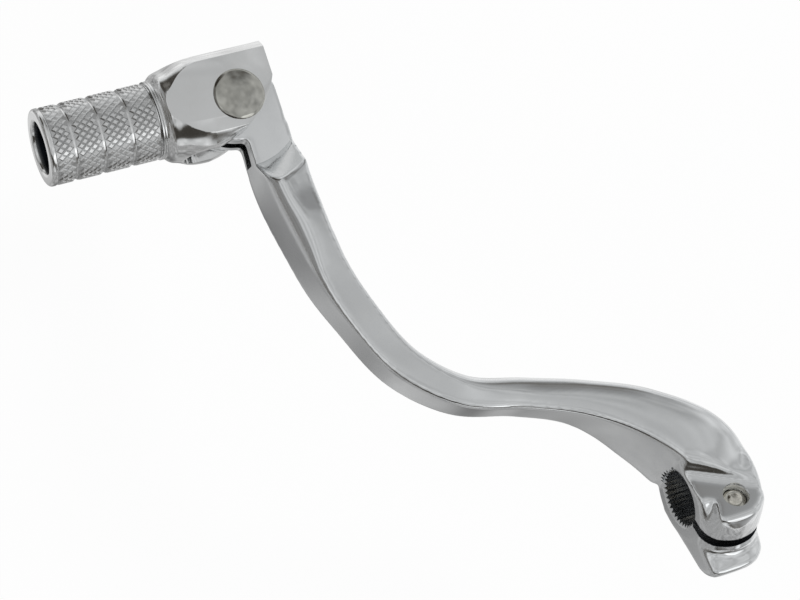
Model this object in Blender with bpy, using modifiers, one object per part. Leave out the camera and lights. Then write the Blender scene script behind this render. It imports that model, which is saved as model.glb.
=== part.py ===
# Motorcycle gear shift lever with a folding knurled tip.
# X runs forward from the clamp to the tip, Y is the axis of the splined bore and points
# outboard, Z is up along the pivot pin.  The origin is on the bore axis at the outboard
# face of the clamp boss.
import math

import bmesh
import bpy
from mathutils import Matrix, Vector

MM = 0.001

# Clamp boss and bore
BOSS_RADIUS = 9.9 * MM
BOSS_LENGTH = 15.0 * MM
BOSS_EDGE = 0.9 * MM
SPLINE_TEETH = 36
SPLINE_ROOT_RADIUS = 6.5 * MM
SPLINE_TOOTH_DEPTH = 0.55 * MM
BORE_CHAMFER = 0.35 * MM
SLOT_TILT = math.radians(28.0)
SLOT_WIDTH = 2.3 * MM

# Ears beside the slot, measured along and across the slot
UPPER_EAR_REACH = 12.3 * MM
UPPER_EAR_TOP = 9.0 * MM
UPPER_EAR_INSET = 0.4 * MM
UPPER_EAR_INBOARD_INSET = 1.0 * MM
UPPER_EAR_EDGE = 3.2 * MM
PAD_HEIGHT = 7.5 * MM
PAD_START = 4.4 * MM
PAD_MARGIN = 3.6 * MM
PAD_CORNER = 1.3 * MM
LOWER_EAR_REACH = 17.9 * MM
LOWER_EAR_LIP = 14.9 * MM
LOWER_EAR_DEPTH = 9.5 * MM
LOWER_EAR_NOSE = 4.6 * MM
LOWER_EAR_HEEL = 14.2 * MM
LOWER_EAR_EDGE = 1.2 * MM
LOWER_EAR_INSET = 0.05 * MM
LOWER_EAR_INBOARD_INSET = 1.7 * MM
LOWER_EAR_ROOT = 3.2 * MM
EAR_OVERLAP = 0.4 * MM

# Pinch bolt
BOLT_RADIUS = 2.5 * MM
BOLT_CLEARANCE = 0.3 * MM
BOLT_REACH = 7.5 * MM
BOLT_OFF_CENTRE = 0.5 * MM
BOLT_END_BELOW_PAD = 0.5 * MM
BOLT_HEAD_FLATS = 8.0 * MM
BOLT_HEAD_HEIGHT = 3.6 * MM
BOLT_WASHER_RADIUS = 4.9 * MM
BOLT_WASHER_HEIGHT = 1.0 * MM
BOLT_SEAT_GAP = 0.3 * MM
BOLT_SEAT_DEPTH = 8.3 * MM
BOLT_SPOT_MARGIN = 0.6 * MM
BOLT_CHAMFER = 0.5 * MM
BOLT_COUNTERSINK = 0.35 * MM

# Centre line of the arm and its section at each named place
ARM_DROP_START = 10.0 * MM
PIVOT_X = 111.6 * MM
PIVOT_Y = 61.2 * MM
PIVOT_DROP = 20.0 * MM
HUB_BEHIND = 2.0 * MM
HUB_INBOARD = 8.8 * MM
HUB_WIDTH = 11.0 * MM
HUB_HEIGHT = 15.5 * MM
ROOT_X = 7.2 * MM
ROOT_INBOARD = 6.6 * MM
ROOT_WIDTH = 12.0 * MM
ROOT_HEIGHT = 17.6 * MM
NECK_X = 18.3 * MM
NECK_Y = 2.0 * MM
NECK_WIDTH = 10.0 * MM
NECK_HEIGHT = 15.4 * MM
BEND_X = 25.9 * MM
BEND_Y = 12.9 * MM
BEND_WIDTH = 8.4 * MM
BEND_HEIGHT = 12.6 * MM
CROOK_X = 30.8 * MM
CROOK_Y = 25.1 * MM
CROOK_WIDTH = 7.2 * MM
CROOK_HEIGHT = 11.0 * MM
ELBOW_X = 34.9 * MM
ELBOW_Y = 37.6 * MM
ELBOW_WIDTH = 7.2 * MM
ELBOW_HEIGHT = 11.0 * MM
TURN_X = 43.5 * MM
TURN_Y = 46.9 * MM
TURN_WIDTH = 7.3 * MM
TURN_HEIGHT = 11.0 * MM
SHANK_BEHIND = 54.2 * MM
SHANK_INBOARD = 8.5 * MM
SHANK_WIDTH = 7.5 * MM
SHANK_HEIGHT = 11.3 * MM
FOREARM_BEHIND = 36.6 * MM
FOREARM_INBOARD = 5.5 * MM
FOREARM_WIDTH = 7.8 * MM
FOREARM_HEIGHT = 13.0 * MM
WRIST_BEHIND = 20.6 * MM
WRIST_INBOARD = 5.0 * MM
WRIST_WIDTH = 9.4 * MM
WRIST_HEIGHT = 13.4 * MM
END_BEHIND = 8.6 * MM
END_INBOARD = 5.3 * MM
END_WIDTH = 9.8 * MM
END_HEIGHT = 13.4 * MM

# Rounding of the long edges of the arm
OUTER_TOP_EDGE = 0.35 * MM
FLUTE_FOREARM = 2.2 * MM
FLUTE_WRIST = 4.0 * MM
FLUTE_END = 4.6 * MM
FLUTE_DROP = 0.9
FLUTE_HOLLOW = 0.05
OUTER_LOW_EDGE = 0.9 * MM
INNER_LOW_EDGE = 1.6 * MM
INNER_TOP_EDGE_CLAMP = 3.4 * MM
INNER_TOP_EDGE_CROOK = 3.0 * MM
INNER_TOP_EDGE_TIP = 0.5 * MM
SIDE_LEAN_CLAMP = 2.3 * MM
SIDE_LEAN_TIP = 0.9 * MM

# Tongue at the end of the arm
TONGUE_THICKNESS = 8.4 * MM
TONGUE_RADIUS = 8.8 * MM
TONGUE_MILL_RADIUS = 14.6 * MM
TONGUE_RAMP_RUN = 6.4 * MM
TONGUE_RAMP_RISE = 5.6 * MM
TONGUE_HEIGHT = 12.6 * MM
STOP_LENGTH = 6.8 * MM
TONGUE_INNER_EDGE = 10.0 * MM
TONGUE_BACK = 15.0 * MM
WEB_INSET = 0.06 * MM
SPRING_SLOT_HEIGHT = 3.2 * MM
SPRING_SLOT_END = 14.2 * MM
SPRING_SLOT_FLOOR = 6.6 * MM

# Folding tip
PIN_OFFSET = 1.1 * MM
TIP_LENGTH = 42.7 * MM
BLOCK_RADIUS = 12.3 * MM
BLOCK_TOP = 9.4 * MM
BLOCK_REAR = 10.2 * MM
BLOCK_FRONT = 9.75 * MM
BLOCK_END = 8.5 * MM
FORK_CLEARANCE = 0.15 * MM
STOP_CLEARANCE = 0.3 * MM
CORNER_FLAT_END = 1.5 * MM
CORNER_START = 6.3 * MM
CORNER_PULL_REAR = 8.0 * MM
CORNER_PULL_END = 4.4 * MM
CORNER_OVERCUT = 0.05 * MM
SHOULDER_START = 7.5 * MM
SHOULDER_MID_REACH = 11.6 * MM
SHOULDER_MID_RADIUS = 11.2 * MM
SHOULDER_NECK_REACH = 15.6 * MM
SHOULDER_NECK_RADIUS = 9.6 * MM
SHOULDER_END_REACH = 16.8 * MM
SHOULDER_END_RADIUS = 8.7 * MM
COLLAR_REACH = 17.4 * MM
COLLAR_RADIUS = 8.55 * MM
COLLAR_WIDTH = 0.6 * MM
COLLAR_GROOVE_RADIUS = 8.0 * MM
KNURL_START = 18.3 * MM
END_RING_WIDTH = 1.3 * MM
GRIP_RADIUS = 8.4 * MM
KNURL_DEPTH = 0.32 * MM
KNURL_COLUMNS = 72
BAND_ROWS = 6
GROOVE_WIDTH = 0.6 * MM
GROOVE_RADIUS = 7.75 * MM
FIRST_GROOVE_SHARE = 0.2554
SECOND_GROOVE_SHARE = 0.5368
THIRD_GROOVE_SHARE = 0.8052
END_HOLE_RADIUS = 5.65 * MM
END_HOLE_SHARE = 0.4684
END_HOLE_CHAMFER = 0.5 * MM
END_ROUNDING = 0.7 * MM

# Pivot pin
PIN_RADIUS = 4.0 * MM
PIN_BORE_CLEARANCE = 0.10 * MM
PIN_HEAD_RADIUS = 5.8 * MM
PIN_HEAD_RISE = 0.9 * MM
PIN_HEAD_GAP = 0.05 * MM
PIN_TAIL_RADIUS = 5.2 * MM
PIN_TAIL_RISE = 0.8 * MM

# Return spring
WIRE_RADIUS = 0.55 * MM
COIL_RADIUS = 5.6 * MM
COIL_PITCH = 1.25 * MM
COIL_TURNS = 1.25
ARM_LEG_REACH = 13.0 * MM
TIP_LEG_REACH = 16.2 * MM
LEG_HOLE_CLEARANCE = 0.3 * MM
LEG_HOLE_END_CLEARANCE = 0.8 * MM

ROUND_STEPS = 64
SMALL_STEPS = 32
COLLECTION_NAME = "motorcycle_gear_shift_lever"


def clear_scene():
    for item in list(bpy.data.objects):
        bpy.data.objects.remove(item, do_unlink=True)


def new_collection(name):
    made = bpy.data.collections.new(name)
    bpy.context.scene.collection.children.link(made)
    return made


def material(name, colour, metallic, roughness):
    made = bpy.data.materials.new(name)
    made.use_nodes = True
    shader = made.node_tree.nodes["Principled BSDF"]
    shader.inputs["Base Color"].default_value = (*colour, 1.0)
    shader.inputs["Metallic"].default_value = metallic
    shader.inputs["Roughness"].default_value = roughness
    return made


def add_mesh(name, bm, collection):
    bmesh.ops.recalc_face_normals(bm, faces=bm.faces)
    mesh = bpy.data.meshes.new(name)
    bm.to_mesh(mesh)
    bm.free()
    item = bpy.data.objects.new(name, mesh)
    collection.objects.link(item)
    return item


def add_cutter(name, bm, collection):
    item = add_mesh(name, bm, collection)
    item.hide_render = True
    item.display_type = 'WIRE'
    return item


def boolean(target, other, operation):
    step = target.modifiers.new(other.name, 'BOOLEAN')
    step.operation = operation
    step.solver = 'EXACT'
    step.object = other


def bevel(item, width, segments, angle=math.radians(30.0)):
    step = item.modifiers.new("edge", 'BEVEL')
    step.width = width
    step.segments = segments
    step.limit_method = 'ANGLE'
    step.angle_limit = angle


def bake(item):
    depsgraph = bpy.context.evaluated_depsgraph_get()
    mesh = bpy.data.meshes.new_from_object(item.evaluated_get(depsgraph))
    item.modifiers.clear()
    item.data = mesh


def box(low, high):
    bm = bmesh.new()
    bmesh.ops.create_cube(bm, size=1.0)
    low = Vector(low)
    high = Vector(high)
    size = high - low
    bmesh.ops.scale(bm, vec=size, verts=bm.verts)
    bmesh.ops.translate(bm, vec=(low + high) / 2.0, verts=bm.verts)
    return bm


def drum(radius, low, high, steps=ROUND_STEPS, top_radius=None):
    bm = bmesh.new()
    bmesh.ops.create_cone(
        bm, cap_ends=True, segments=steps, radius1=radius,
        radius2=radius if top_radius is None else top_radius, depth=high - low)
    bmesh.ops.translate(bm, vec=(0.0, 0.0, (low + high) / 2.0), verts=bm.verts)
    return bm


def prism(outline, low, high):
    bm = bmesh.new()
    corners = [bm.verts.new((x, y, low)) for x, y in outline]
    face = bm.faces.new(corners)
    grown = bmesh.ops.extrude_face_region(bm, geom=[face])
    raised = [v for v in grown["geom"] if isinstance(v, bmesh.types.BMVert)]
    bmesh.ops.translate(bm, vec=(0.0, 0.0, high - low), verts=raised)
    return bm


def placed(bm, matrix):
    bmesh.ops.transform(bm, matrix=matrix, verts=bm.verts)
    return bm


# Local frame of the clamp: X along the slot away from the bore, Y the bore axis, Z across
# the slot towards the upper ear.
ALONG = Vector((-math.cos(SLOT_TILT), 0.0, math.sin(SLOT_TILT)))
ACROSS = Vector((math.sin(SLOT_TILT), 0.0, math.cos(SLOT_TILT)))
BORE = Vector((0.0, 1.0, 0.0))
CLAMP_FRAME = Matrix((
    (ALONG.x, -BORE.x, ACROSS.x, 0.0),
    (ALONG.y, -BORE.y, ACROSS.y, 0.0),
    (ALONG.z, -BORE.z, ACROSS.z, 0.0),
    (0.0, 0.0, 0.0, 1.0)))
BOLT_FRAME = CLAMP_FRAME @ Matrix.Translation((BOLT_REACH, BOSS_LENGTH / 2.0 + BOLT_OFF_CENTRE, 0.0))
BORE_FRAME = Matrix.Rotation(-math.pi / 2.0, 4, 'X')
PIVOT_FRAME = Matrix.Translation((PIVOT_X, PIVOT_Y, -PIVOT_DROP))
PIN_FRAME = Matrix.Translation((PIVOT_X - PIN_OFFSET, PIVOT_Y, -PIVOT_DROP))


def arm_drop(x):
    run = PIVOT_X - ARM_DROP_START
    return -PIVOT_DROP * (x - ARM_DROP_START) / run


def arm_places():
    clamp = INNER_TOP_EDGE_CLAMP
    crook = INNER_TOP_EDGE_CROOK
    tip = INNER_TOP_EDGE_TIP
    edge = OUTER_TOP_EDGE
    return [
        (-HUB_BEHIND, -HUB_INBOARD, HUB_WIDTH, HUB_HEIGHT, clamp, 0.0, edge),
        (ROOT_X, -ROOT_INBOARD, ROOT_WIDTH, ROOT_HEIGHT, clamp, SIDE_LEAN_CLAMP, edge),
        (NECK_X, NECK_Y, NECK_WIDTH, NECK_HEIGHT, clamp, SIDE_LEAN_CLAMP, edge),
        (BEND_X, BEND_Y, BEND_WIDTH, BEND_HEIGHT, crook, 0.0, edge),
        (CROOK_X, CROOK_Y, CROOK_WIDTH, CROOK_HEIGHT, crook, 0.0, edge),
        (ELBOW_X, ELBOW_Y, ELBOW_WIDTH, ELBOW_HEIGHT, crook, 0.0, edge),
        (TURN_X, TURN_Y, TURN_WIDTH, TURN_HEIGHT, tip, 0.0, edge),
        (PIVOT_X - SHANK_BEHIND, PIVOT_Y - SHANK_INBOARD, SHANK_WIDTH, SHANK_HEIGHT, tip, 0.0, edge),
        (PIVOT_X - FOREARM_BEHIND, PIVOT_Y - FOREARM_INBOARD,
         FOREARM_WIDTH, FOREARM_HEIGHT, tip, SIDE_LEAN_TIP, FLUTE_FOREARM),
        (PIVOT_X - WRIST_BEHIND, PIVOT_Y - WRIST_INBOARD,
         WRIST_WIDTH, WRIST_HEIGHT, tip, SIDE_LEAN_TIP, FLUTE_WRIST),
        (PIVOT_X - END_BEHIND, PIVOT_Y - END_INBOARD, END_WIDTH, END_HEIGHT, tip, 0.0, FLUTE_END),
    ]


def blend(places, index, t):
    # Cubic through four neighbouring places; the ends repeat.
    last = len(places) - 1
    a = places[max(index - 1, 0)]
    b = places[index]
    c = places[min(index + 1, last)]
    d = places[min(index + 2, last)]
    span = math.dist(b[:2], c[:2])
    before = max(math.dist(a[:2], b[:2]), 1e-9)
    after = max(math.dist(c[:2], d[:2]), 1e-9)
    mixed = []
    for p, q, r, s in zip(a, b, c, d):
        slope = (r - q) / span
        leave = slope
        arrive = slope
        if index > 0:
            leave = ((q - p) / before * span + slope * before) / (span + before)
        if index + 1 < last:
            arrive = (slope * after + (s - r) / after * span) / (span + after)
        t2 = t * t
        t3 = t2 * t
        mixed.append(
            (2.0 * t3 - 3.0 * t2 + 1.0) * q + (t3 - 2.0 * t2 + t) * leave * span
            + (3.0 * t2 - 2.0 * t3) * r + (t3 - t2) * arrive * span)
    return mixed


def section(width, height, inner_top, lean, flute):
    # Rounded four-sided section; the first axis points outboard, the second up.
    half = width / 2.0
    tall = height / 2.0
    corners = [
        (half + lean, -tall, OUTER_LOW_EDGE, -math.pi / 2.0),
        (-half, -tall, INNER_LOW_EDGE, -math.pi),
        (-half, tall, inner_top, -1.5 * math.pi),
    ]
    points = []
    for k in range(5):
        t = k / 4.0
        dip = FLUTE_HOLLOW * flute * math.sin(math.pi * t)
        points.append((half - flute * (1.0 - t) - dip, tall - FLUTE_DROP * flute * t - dip))
    for across, up, radius, turn in corners:
        centre_a = across - math.copysign(radius, across)
        centre_u = up - math.copysign(radius, up)
        for k in range(5):
            angle = math.pi / 2.0 + turn - k * math.pi / 8.0
            points.append((centre_a + radius * math.cos(angle), centre_u + radius * math.sin(angle)))
    return points


def build_arm_body():
    places = arm_places()
    per_span = 6
    path = []
    for index in range(len(places) - 1):
        for k in range(per_span):
            path.append(blend(places, index, k / per_span))
    path.append(list(places[-1]))
    bm = bmesh.new()
    rings = []
    for i, place in enumerate(path):
        ahead = path[min(i + 1, len(path) - 1)]
        behind = path[max(i - 1, 0)]
        heading = Vector((ahead[0] - behind[0], ahead[1] - behind[1], 0.0)).normalized()
        outward = Vector((-heading.y, heading.x, 0.0))
        x, y, width, height, inner_top, lean, flute = place
        centre = Vector((x, y, arm_drop(x)))
        ring = []
        for across, up in section(width, height, inner_top, lean, flute):
            ring.append(bm.verts.new(centre + outward * across + Vector((0.0, 0.0, up))))
        rings.append(ring)
    for first, second in zip(rings, rings[1:]):
        count = len(first)
        for k in range(count):
            bm.faces.new((first[k], first[(k + 1) % count], second[(k + 1) % count], second[k]))
    bm.faces.new(rings[0])
    bm.faces.new(list(reversed(rings[-1])))
    return bm


def spline_cutter():
    # A toothed bar: two corners per tooth, root and tip in turn.
    reach = BOSS_LENGTH
    outline = []
    count = SPLINE_TEETH * 2
    for k in range(count):
        radius = SPLINE_ROOT_RADIUS if k % 2 == 0 else SPLINE_ROOT_RADIUS - SPLINE_TOOTH_DEPTH
        angle = 2.0 * math.pi * k / count
        outline.append((radius * math.cos(angle), radius * math.sin(angle)))
    return placed(prism(outline, -2.0 * reach, reach), BORE_FRAME)


def tongue_head():
    # Plan of the tongue: round behind the pin, square at the stop, straight along the inner edge.
    sunk = TONGUE_INNER_EDGE - TONGUE_RADIUS
    outline = [(-TONGUE_BACK, WEB_INSET - TONGUE_INNER_EDGE)]
    for k in range(13):
        angle = -math.pi / 2.0 + k * math.pi / 24.0
        outline.append((TONGUE_RADIUS * math.cos(angle), TONGUE_RADIUS * math.sin(angle) - sunk))
    outline.append((TONGUE_RADIUS, sunk))
    outline.append((STOP_LENGTH, TONGUE_RADIUS))
    for k in range(17):
        angle = math.pi / 2.0 + k * math.pi / 32.0
        outline.append((TONGUE_RADIUS * math.cos(angle), TONGUE_RADIUS * math.sin(angle)))
    outline.append((-TONGUE_RADIUS, -2.0 * sunk))
    outline.append((-TONGUE_BACK, -TONGUE_RADIUS / 2.0))
    return prism(outline, -TONGUE_HEIGHT / 2.0, TONGUE_HEIGHT / 2.0)


def turned(name, profile, collection, steps):
    bm = bmesh.new()
    corners = [bm.verts.new((radius, 0.0, height)) for radius, height in profile]
    for first, second in zip(corners, corners[1:]):
        bm.edges.new((first, second))
    mesh = bpy.data.meshes.new(name)
    bm.to_mesh(mesh)
    bm.free()
    item = bpy.data.objects.new(name, mesh)
    collection.objects.link(item)
    step = item.modifiers.new("turn", 'SCREW')
    step.axis = 'Z'
    step.steps = steps
    step.render_steps = steps
    step.use_merge_vertices = True
    step.merge_threshold = 0.00001
    bake(item)
    return item


def bolt_hole(cutters):
    # Countersink at the pad, clearance bore through both ears and spot face under the washer.
    wide = BOLT_RADIUS + BOLT_CLEARANCE
    seat_radius = BOLT_WASHER_RADIUS + BOLT_SPOT_MARGIN
    profile = [
        (0.0, PAD_HEIGHT + BOLT_COUNTERSINK),
        (wide + 2.0 * BOLT_COUNTERSINK, PAD_HEIGHT + BOLT_COUNTERSINK),
        (wide, PAD_HEIGHT - BOLT_COUNTERSINK),
        (wide, -BOLT_SEAT_DEPTH),
        (seat_radius, -BOLT_SEAT_DEPTH),
        (seat_radius, -2.0 * BOSS_RADIUS),
        (0.0, -2.0 * BOSS_RADIUS),
    ]
    hole = turned("bolt_hole", profile, cutters, SMALL_STEPS)
    hole.data.transform(BOLT_FRAME)
    hole.hide_render = True
    hole.display_type = 'WIRE'
    return hole


def build_lever_arm(parts, cutters):
    arm = add_mesh("lever_arm", build_arm_body(), parts)

    boss = placed(drum(BOSS_RADIUS, -BOSS_LENGTH, 0.0), BORE_FRAME)
    boss = add_cutter("boss_block", boss, cutters)
    bevel(boss, BOSS_EDGE, 3)
    boolean(arm, boss, 'UNION')

    upper = box(
        (-PAD_START, UPPER_EAR_INSET, -EAR_OVERLAP),
        (UPPER_EAR_REACH, BOSS_LENGTH - UPPER_EAR_INBOARD_INSET, UPPER_EAR_TOP))
    upper = add_cutter("upper_ear_block", placed(upper, CLAMP_FRAME), cutters)
    bevel(upper, UPPER_EAR_EDGE, 4)
    boolean(arm, upper, 'UNION')

    profile = [
        (-LOWER_EAR_ROOT, -LOWER_EAR_DEPTH),
        (LOWER_EAR_HEEL, -LOWER_EAR_DEPTH),
        (LOWER_EAR_REACH - LOWER_EAR_EDGE / 2.0, -(LOWER_EAR_DEPTH + LOWER_EAR_NOSE) / 2.0),
        (LOWER_EAR_REACH, -LOWER_EAR_NOSE),
        (LOWER_EAR_LIP, EAR_OVERLAP),
        (-LOWER_EAR_ROOT, EAR_OVERLAP),
    ]
    lower = prism(profile, LOWER_EAR_INBOARD_INSET - BOSS_LENGTH, -LOWER_EAR_INSET)
    turn = Matrix((
        (ALONG.x, ACROSS.x, -BORE.x, 0.0),
        (ALONG.y, ACROSS.y, BORE.y, 0.0),
        (ALONG.z, ACROSS.z, -BORE.z, 0.0),
        (0.0, 0.0, 0.0, 1.0)))
    lower = add_cutter("lower_ear_block", placed(lower, turn), cutters)
    bevel(lower, LOWER_EAR_EDGE, 3)
    boolean(arm, lower, 'UNION')

    head = add_cutter("tongue_block", placed(tongue_head(), PIN_FRAME), cutters)
    boolean(arm, head, 'UNION')

    half = TONGUE_THICKNESS / 2.0
    for name, sign in (("tongue_upper_mill", 1.0), ("tongue_lower_mill", -1.0)):
        wide = TONGUE_MILL_RADIUS + TONGUE_RAMP_RUN
        flat = drum(TONGUE_MILL_RADIUS, half, half + TONGUE_RAMP_RISE, ROUND_STEPS, wide)
        if sign < 0.0:
            flat = placed(flat, Matrix.Rotation(math.pi, 4, 'X'))
        boolean(arm, add_cutter(name, placed(flat, PIN_FRAME), cutters), 'DIFFERENCE')

    slot_half = SPRING_SLOT_HEIGHT / 2.0
    groove = box(
        (-SPRING_SLOT_END, -SPRING_SLOT_FLOOR, -slot_half),
        (2.0 * TONGUE_RADIUS, 2.0 * TONGUE_RADIUS, slot_half))
    boolean(arm, add_cutter("spring_slot", placed(groove, PIN_FRAME), cutters), 'DIFFERENCE')
    hole = drum(PIN_RADIUS + PIN_BORE_CLEARANCE, -END_HEIGHT, END_HEIGHT, SMALL_STEPS)
    boolean(arm, add_cutter("tongue_bore", placed(hole, PIN_FRAME), cutters), 'DIFFERENCE')

    boolean(arm, add_cutter("spline_bore", spline_cutter(), cutters), 'DIFFERENCE')
    slot = box(
        (0.0, -BOSS_LENGTH, -SLOT_WIDTH / 2.0),
        (2.0 * LOWER_EAR_REACH, 2.0 * BOSS_LENGTH, SLOT_WIDTH / 2.0))
    boolean(arm, add_cutter("clamp_slot", placed(slot, CLAMP_FRAME), cutters), 'DIFFERENCE')
    pad = box(
        (PAD_START, PAD_MARGIN, PAD_HEIGHT),
        (2.0 * UPPER_EAR_REACH, BOSS_LENGTH - PAD_MARGIN, 2.0 * PAD_HEIGHT))
    pad = add_cutter("pad_mill", placed(pad, CLAMP_FRAME), cutters)
    bevel(pad, PAD_CORNER, 3)
    boolean(arm, pad, 'DIFFERENCE')
    boolean(arm, bolt_hole(cutters), 'DIFFERENCE')
    return arm


def knurl_band(low, high):
    # A drum with a grid of points; every other point stands proud, which leaves diamonds.
    bm = drum(GRIP_RADIUS, low, high, KNURL_COLUMNS)
    risers = [e for e in bm.edges if abs(e.verts[0].co.z - e.verts[1].co.z) > (high - low) / 2.0]
    bmesh.ops.subdivide_edges(bm, edges=risers, cuts=BAND_ROWS - 1, use_grid_fill=True)
    step = (high - low) / BAND_ROWS
    low_points = set()
    for vert in bm.verts:
        row = round((vert.co.z - low) / step)
        column = round(math.atan2(vert.co.y, vert.co.x) / (2.0 * math.pi / KNURL_COLUMNS))
        if (row + column) % 2 or row in (0, BAND_ROWS):
            factor = (GRIP_RADIUS - KNURL_DEPTH) / GRIP_RADIUS
            vert.co.x *= factor
            vert.co.y *= factor
        if (row + column) % 2:
            low_points.add(vert)
    for face in [f for f in bm.faces if len(f.verts) == 4]:
        pair = [v for v in face.verts if v in low_points]
        if len(pair) == 2:
            bmesh.utils.face_split(face, pair[0], pair[1])
    return bm


def tip_profile():
    # From the middle of the end hole outwards and down the outside to the block end.
    hole_bottom = TIP_LENGTH * (1.0 - END_HOLE_SHARE)
    points = [
        (0.0, hole_bottom),
        (END_HOLE_RADIUS, hole_bottom),
        (END_HOLE_RADIUS, TIP_LENGTH - END_HOLE_CHAMFER),
        (END_HOLE_RADIUS + END_HOLE_CHAMFER, TIP_LENGTH),
    ]
    for k in range(5):
        angle = math.pi / 2.0 - k * math.pi / 8.0
        points.append((
            GRIP_RADIUS - END_ROUNDING + END_ROUNDING * math.cos(angle),
            TIP_LENGTH - END_ROUNDING + END_ROUNDING * math.sin(angle)))
    knurl_end = TIP_LENGTH - END_RING_WIDTH
    points.append((GRIP_RADIUS, knurl_end))
    core = GROOVE_RADIUS
    points.append((core, knurl_end - GROOVE_WIDTH / 4.0))
    points.append((core, KNURL_START - GROOVE_WIDTH / 4.0))
    points.append((COLLAR_GROOVE_RADIUS, COLLAR_REACH + COLLAR_WIDTH / 2.0 + GROOVE_WIDTH / 8.0))
    points.append((COLLAR_RADIUS, COLLAR_REACH + COLLAR_WIDTH / 3.0))
    points.append((COLLAR_RADIUS, COLLAR_REACH - COLLAR_WIDTH / 3.0))
    points.append((COLLAR_GROOVE_RADIUS, COLLAR_REACH - COLLAR_WIDTH / 2.0))
    ends = [
        (SHOULDER_END_RADIUS, SHOULDER_END_REACH - GROOVE_WIDTH / 4.0),
        (SHOULDER_NECK_RADIUS, SHOULDER_NECK_REACH),
        (SHOULDER_MID_RADIUS, SHOULDER_MID_REACH),
        (BLOCK_RADIUS, SHOULDER_START),
    ]
    points.append(ends[0])
    for index in range(3):
        a = ends[max(index - 1, 0)]
        b = ends[index]
        c = ends[index + 1]
        d = (BLOCK_RADIUS, 0.0) if index == 2 else ends[index + 2]
        for k in range(1, 5):
            t = k / 4.0
            point = []
            for p, q, r, s in zip(a, b, c, d):
                leave = (r - p) / 2.0
                arrive = (s - q) / 2.0
                if index == 2 and p < r:
                    arrive = min(arrive, 0.0) if q > r else 0.0
                t2 = t * t
                t3 = t2 * t
                point.append(
                    (2.0 * t3 - 3.0 * t2 + 1.0) * q + (t3 - 2.0 * t2 + t) * leave
                    + (3.0 * t2 - 2.0 * t3) * r + (t3 - t2) * arrive)
            points.append(tuple(point))
    points.append((BLOCK_RADIUS, -BLOCK_END))
    points.append((0.0, -BLOCK_END))
    return points


def build_folding_tip(parts, cutters):
    tip = turned("folding_tip", tip_profile(), parts, KNURL_COLUMNS)
    tip.data.transform(BORE_FRAME)
    tip.data.transform(PIVOT_FRAME)

    knurl_end = TIP_LENGTH - END_RING_WIDTH
    grooves = [
        KNURL_START + (knurl_end - KNURL_START) * share
        for share in (FIRST_GROOVE_SHARE, SECOND_GROOVE_SHARE, THIRD_GROOVE_SHARE)]
    starts = [KNURL_START] + [groove + GROOVE_WIDTH / 2.0 for groove in grooves]
    stops = [groove - GROOVE_WIDTH / 2.0 for groove in grooves] + [knurl_end - GROOVE_WIDTH / 4.0]
    edges = list(zip(starts, stops))
    bore = END_HOLE_RADIUS + (GROOVE_RADIUS - END_HOLE_RADIUS) / 2.0
    for k, (low, high) in enumerate(edges):
        band = placed(knurl_band(low, high), PIVOT_FRAME @ BORE_FRAME)
        band = add_cutter("knurl_band_%d" % (k + 1), band, cutters)
        hollow = placed(drum(bore, low - GROOVE_WIDTH, high + GROOVE_WIDTH), PIVOT_FRAME @ BORE_FRAME)
        boolean(band, add_cutter("knurl_core_%d" % (k + 1), hollow, cutters), 'DIFFERENCE')
        boolean(tip, band, 'UNION')

    far = 2.0 * BLOCK_RADIUS
    reach = KNURL_START - GROOVE_WIDTH
    for name, low, high in (
            ("upper_flat", (-far, -far, BLOCK_TOP), (far, reach, far)),
            ("lower_flat", (-far, -far, -far), (far, reach, -BLOCK_TOP)),
            ("front_flat", (BLOCK_FRONT, -far, -far), (far, reach, far)),
            ("rear_flat", (-far, -far, -far), (-BLOCK_REAR, reach, far))):
        boolean(tip, add_cutter(name, placed(box(low, high), PIVOT_FRAME), cutters), 'DIFFERENCE')

    # Rear corner of the block, rounded so that it clears the arm.
    depth = BLOCK_END + CORNER_OVERCUT
    start = Vector((-BLOCK_REAR, CORNER_START))
    finish = Vector((CORNER_FLAT_END, -depth))
    pull = Vector((-CORNER_PULL_REAR, -CORNER_PULL_END))
    outline = []
    steps = 12
    for k in range(steps + 1):
        t = k / steps
        point = start * (1.0 - t) ** 2 + pull * 2.0 * t * (1.0 - t) + finish * t * t
        outline.append((point.x, point.y))
    outline.append((CORNER_FLAT_END, -far))
    outline.append((-far, -far))
    outline.append((-far, start.y))
    corner = placed(prism(outline, -far, far), PIVOT_FRAME)
    boolean(tip, add_cutter("corner_mill", corner, cutters), 'DIFFERENCE')

    half = TONGUE_THICKNESS / 2.0 + FORK_CLEARANCE
    wall = TONGUE_RADIUS + STOP_CLEARANCE
    fork = box((-far, -far, -half), (far, wall, half))
    boolean(tip, add_cutter("fork_slot", placed(fork, PIVOT_FRAME), cutters), 'DIFFERENCE')
    nose = drum(half, -far, 0.0, SMALL_STEPS)
    turn = Matrix.Rotation(math.pi / 2.0, 4, 'Y')
    nose = placed(nose, PIVOT_FRAME @ Matrix.Translation((0.0, wall, 0.0)) @ turn)
    boolean(tip, add_cutter("fork_end", nose, cutters), 'DIFFERENCE')
    hole = drum(PIN_RADIUS + PIN_BORE_CLEARANCE, -far, far, SMALL_STEPS)
    boolean(tip, add_cutter("cheek_bore", placed(hole, PIN_FRAME), cutters), 'DIFFERENCE')
    leg = drum(WIRE_RADIUS + LEG_HOLE_CLEARANCE, 0.0, TIP_LEG_REACH + LEG_HOLE_END_CLEARANCE, 16)
    rise = COIL_PITCH * COIL_TURNS / 2.0
    leg = placed(leg, PIN_FRAME @ Matrix.Translation((COIL_RADIUS, 0.0, rise)) @ BORE_FRAME)
    boolean(tip, add_cutter("spring_leg_bore", leg, cutters), 'DIFFERENCE')
    return tip


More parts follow.
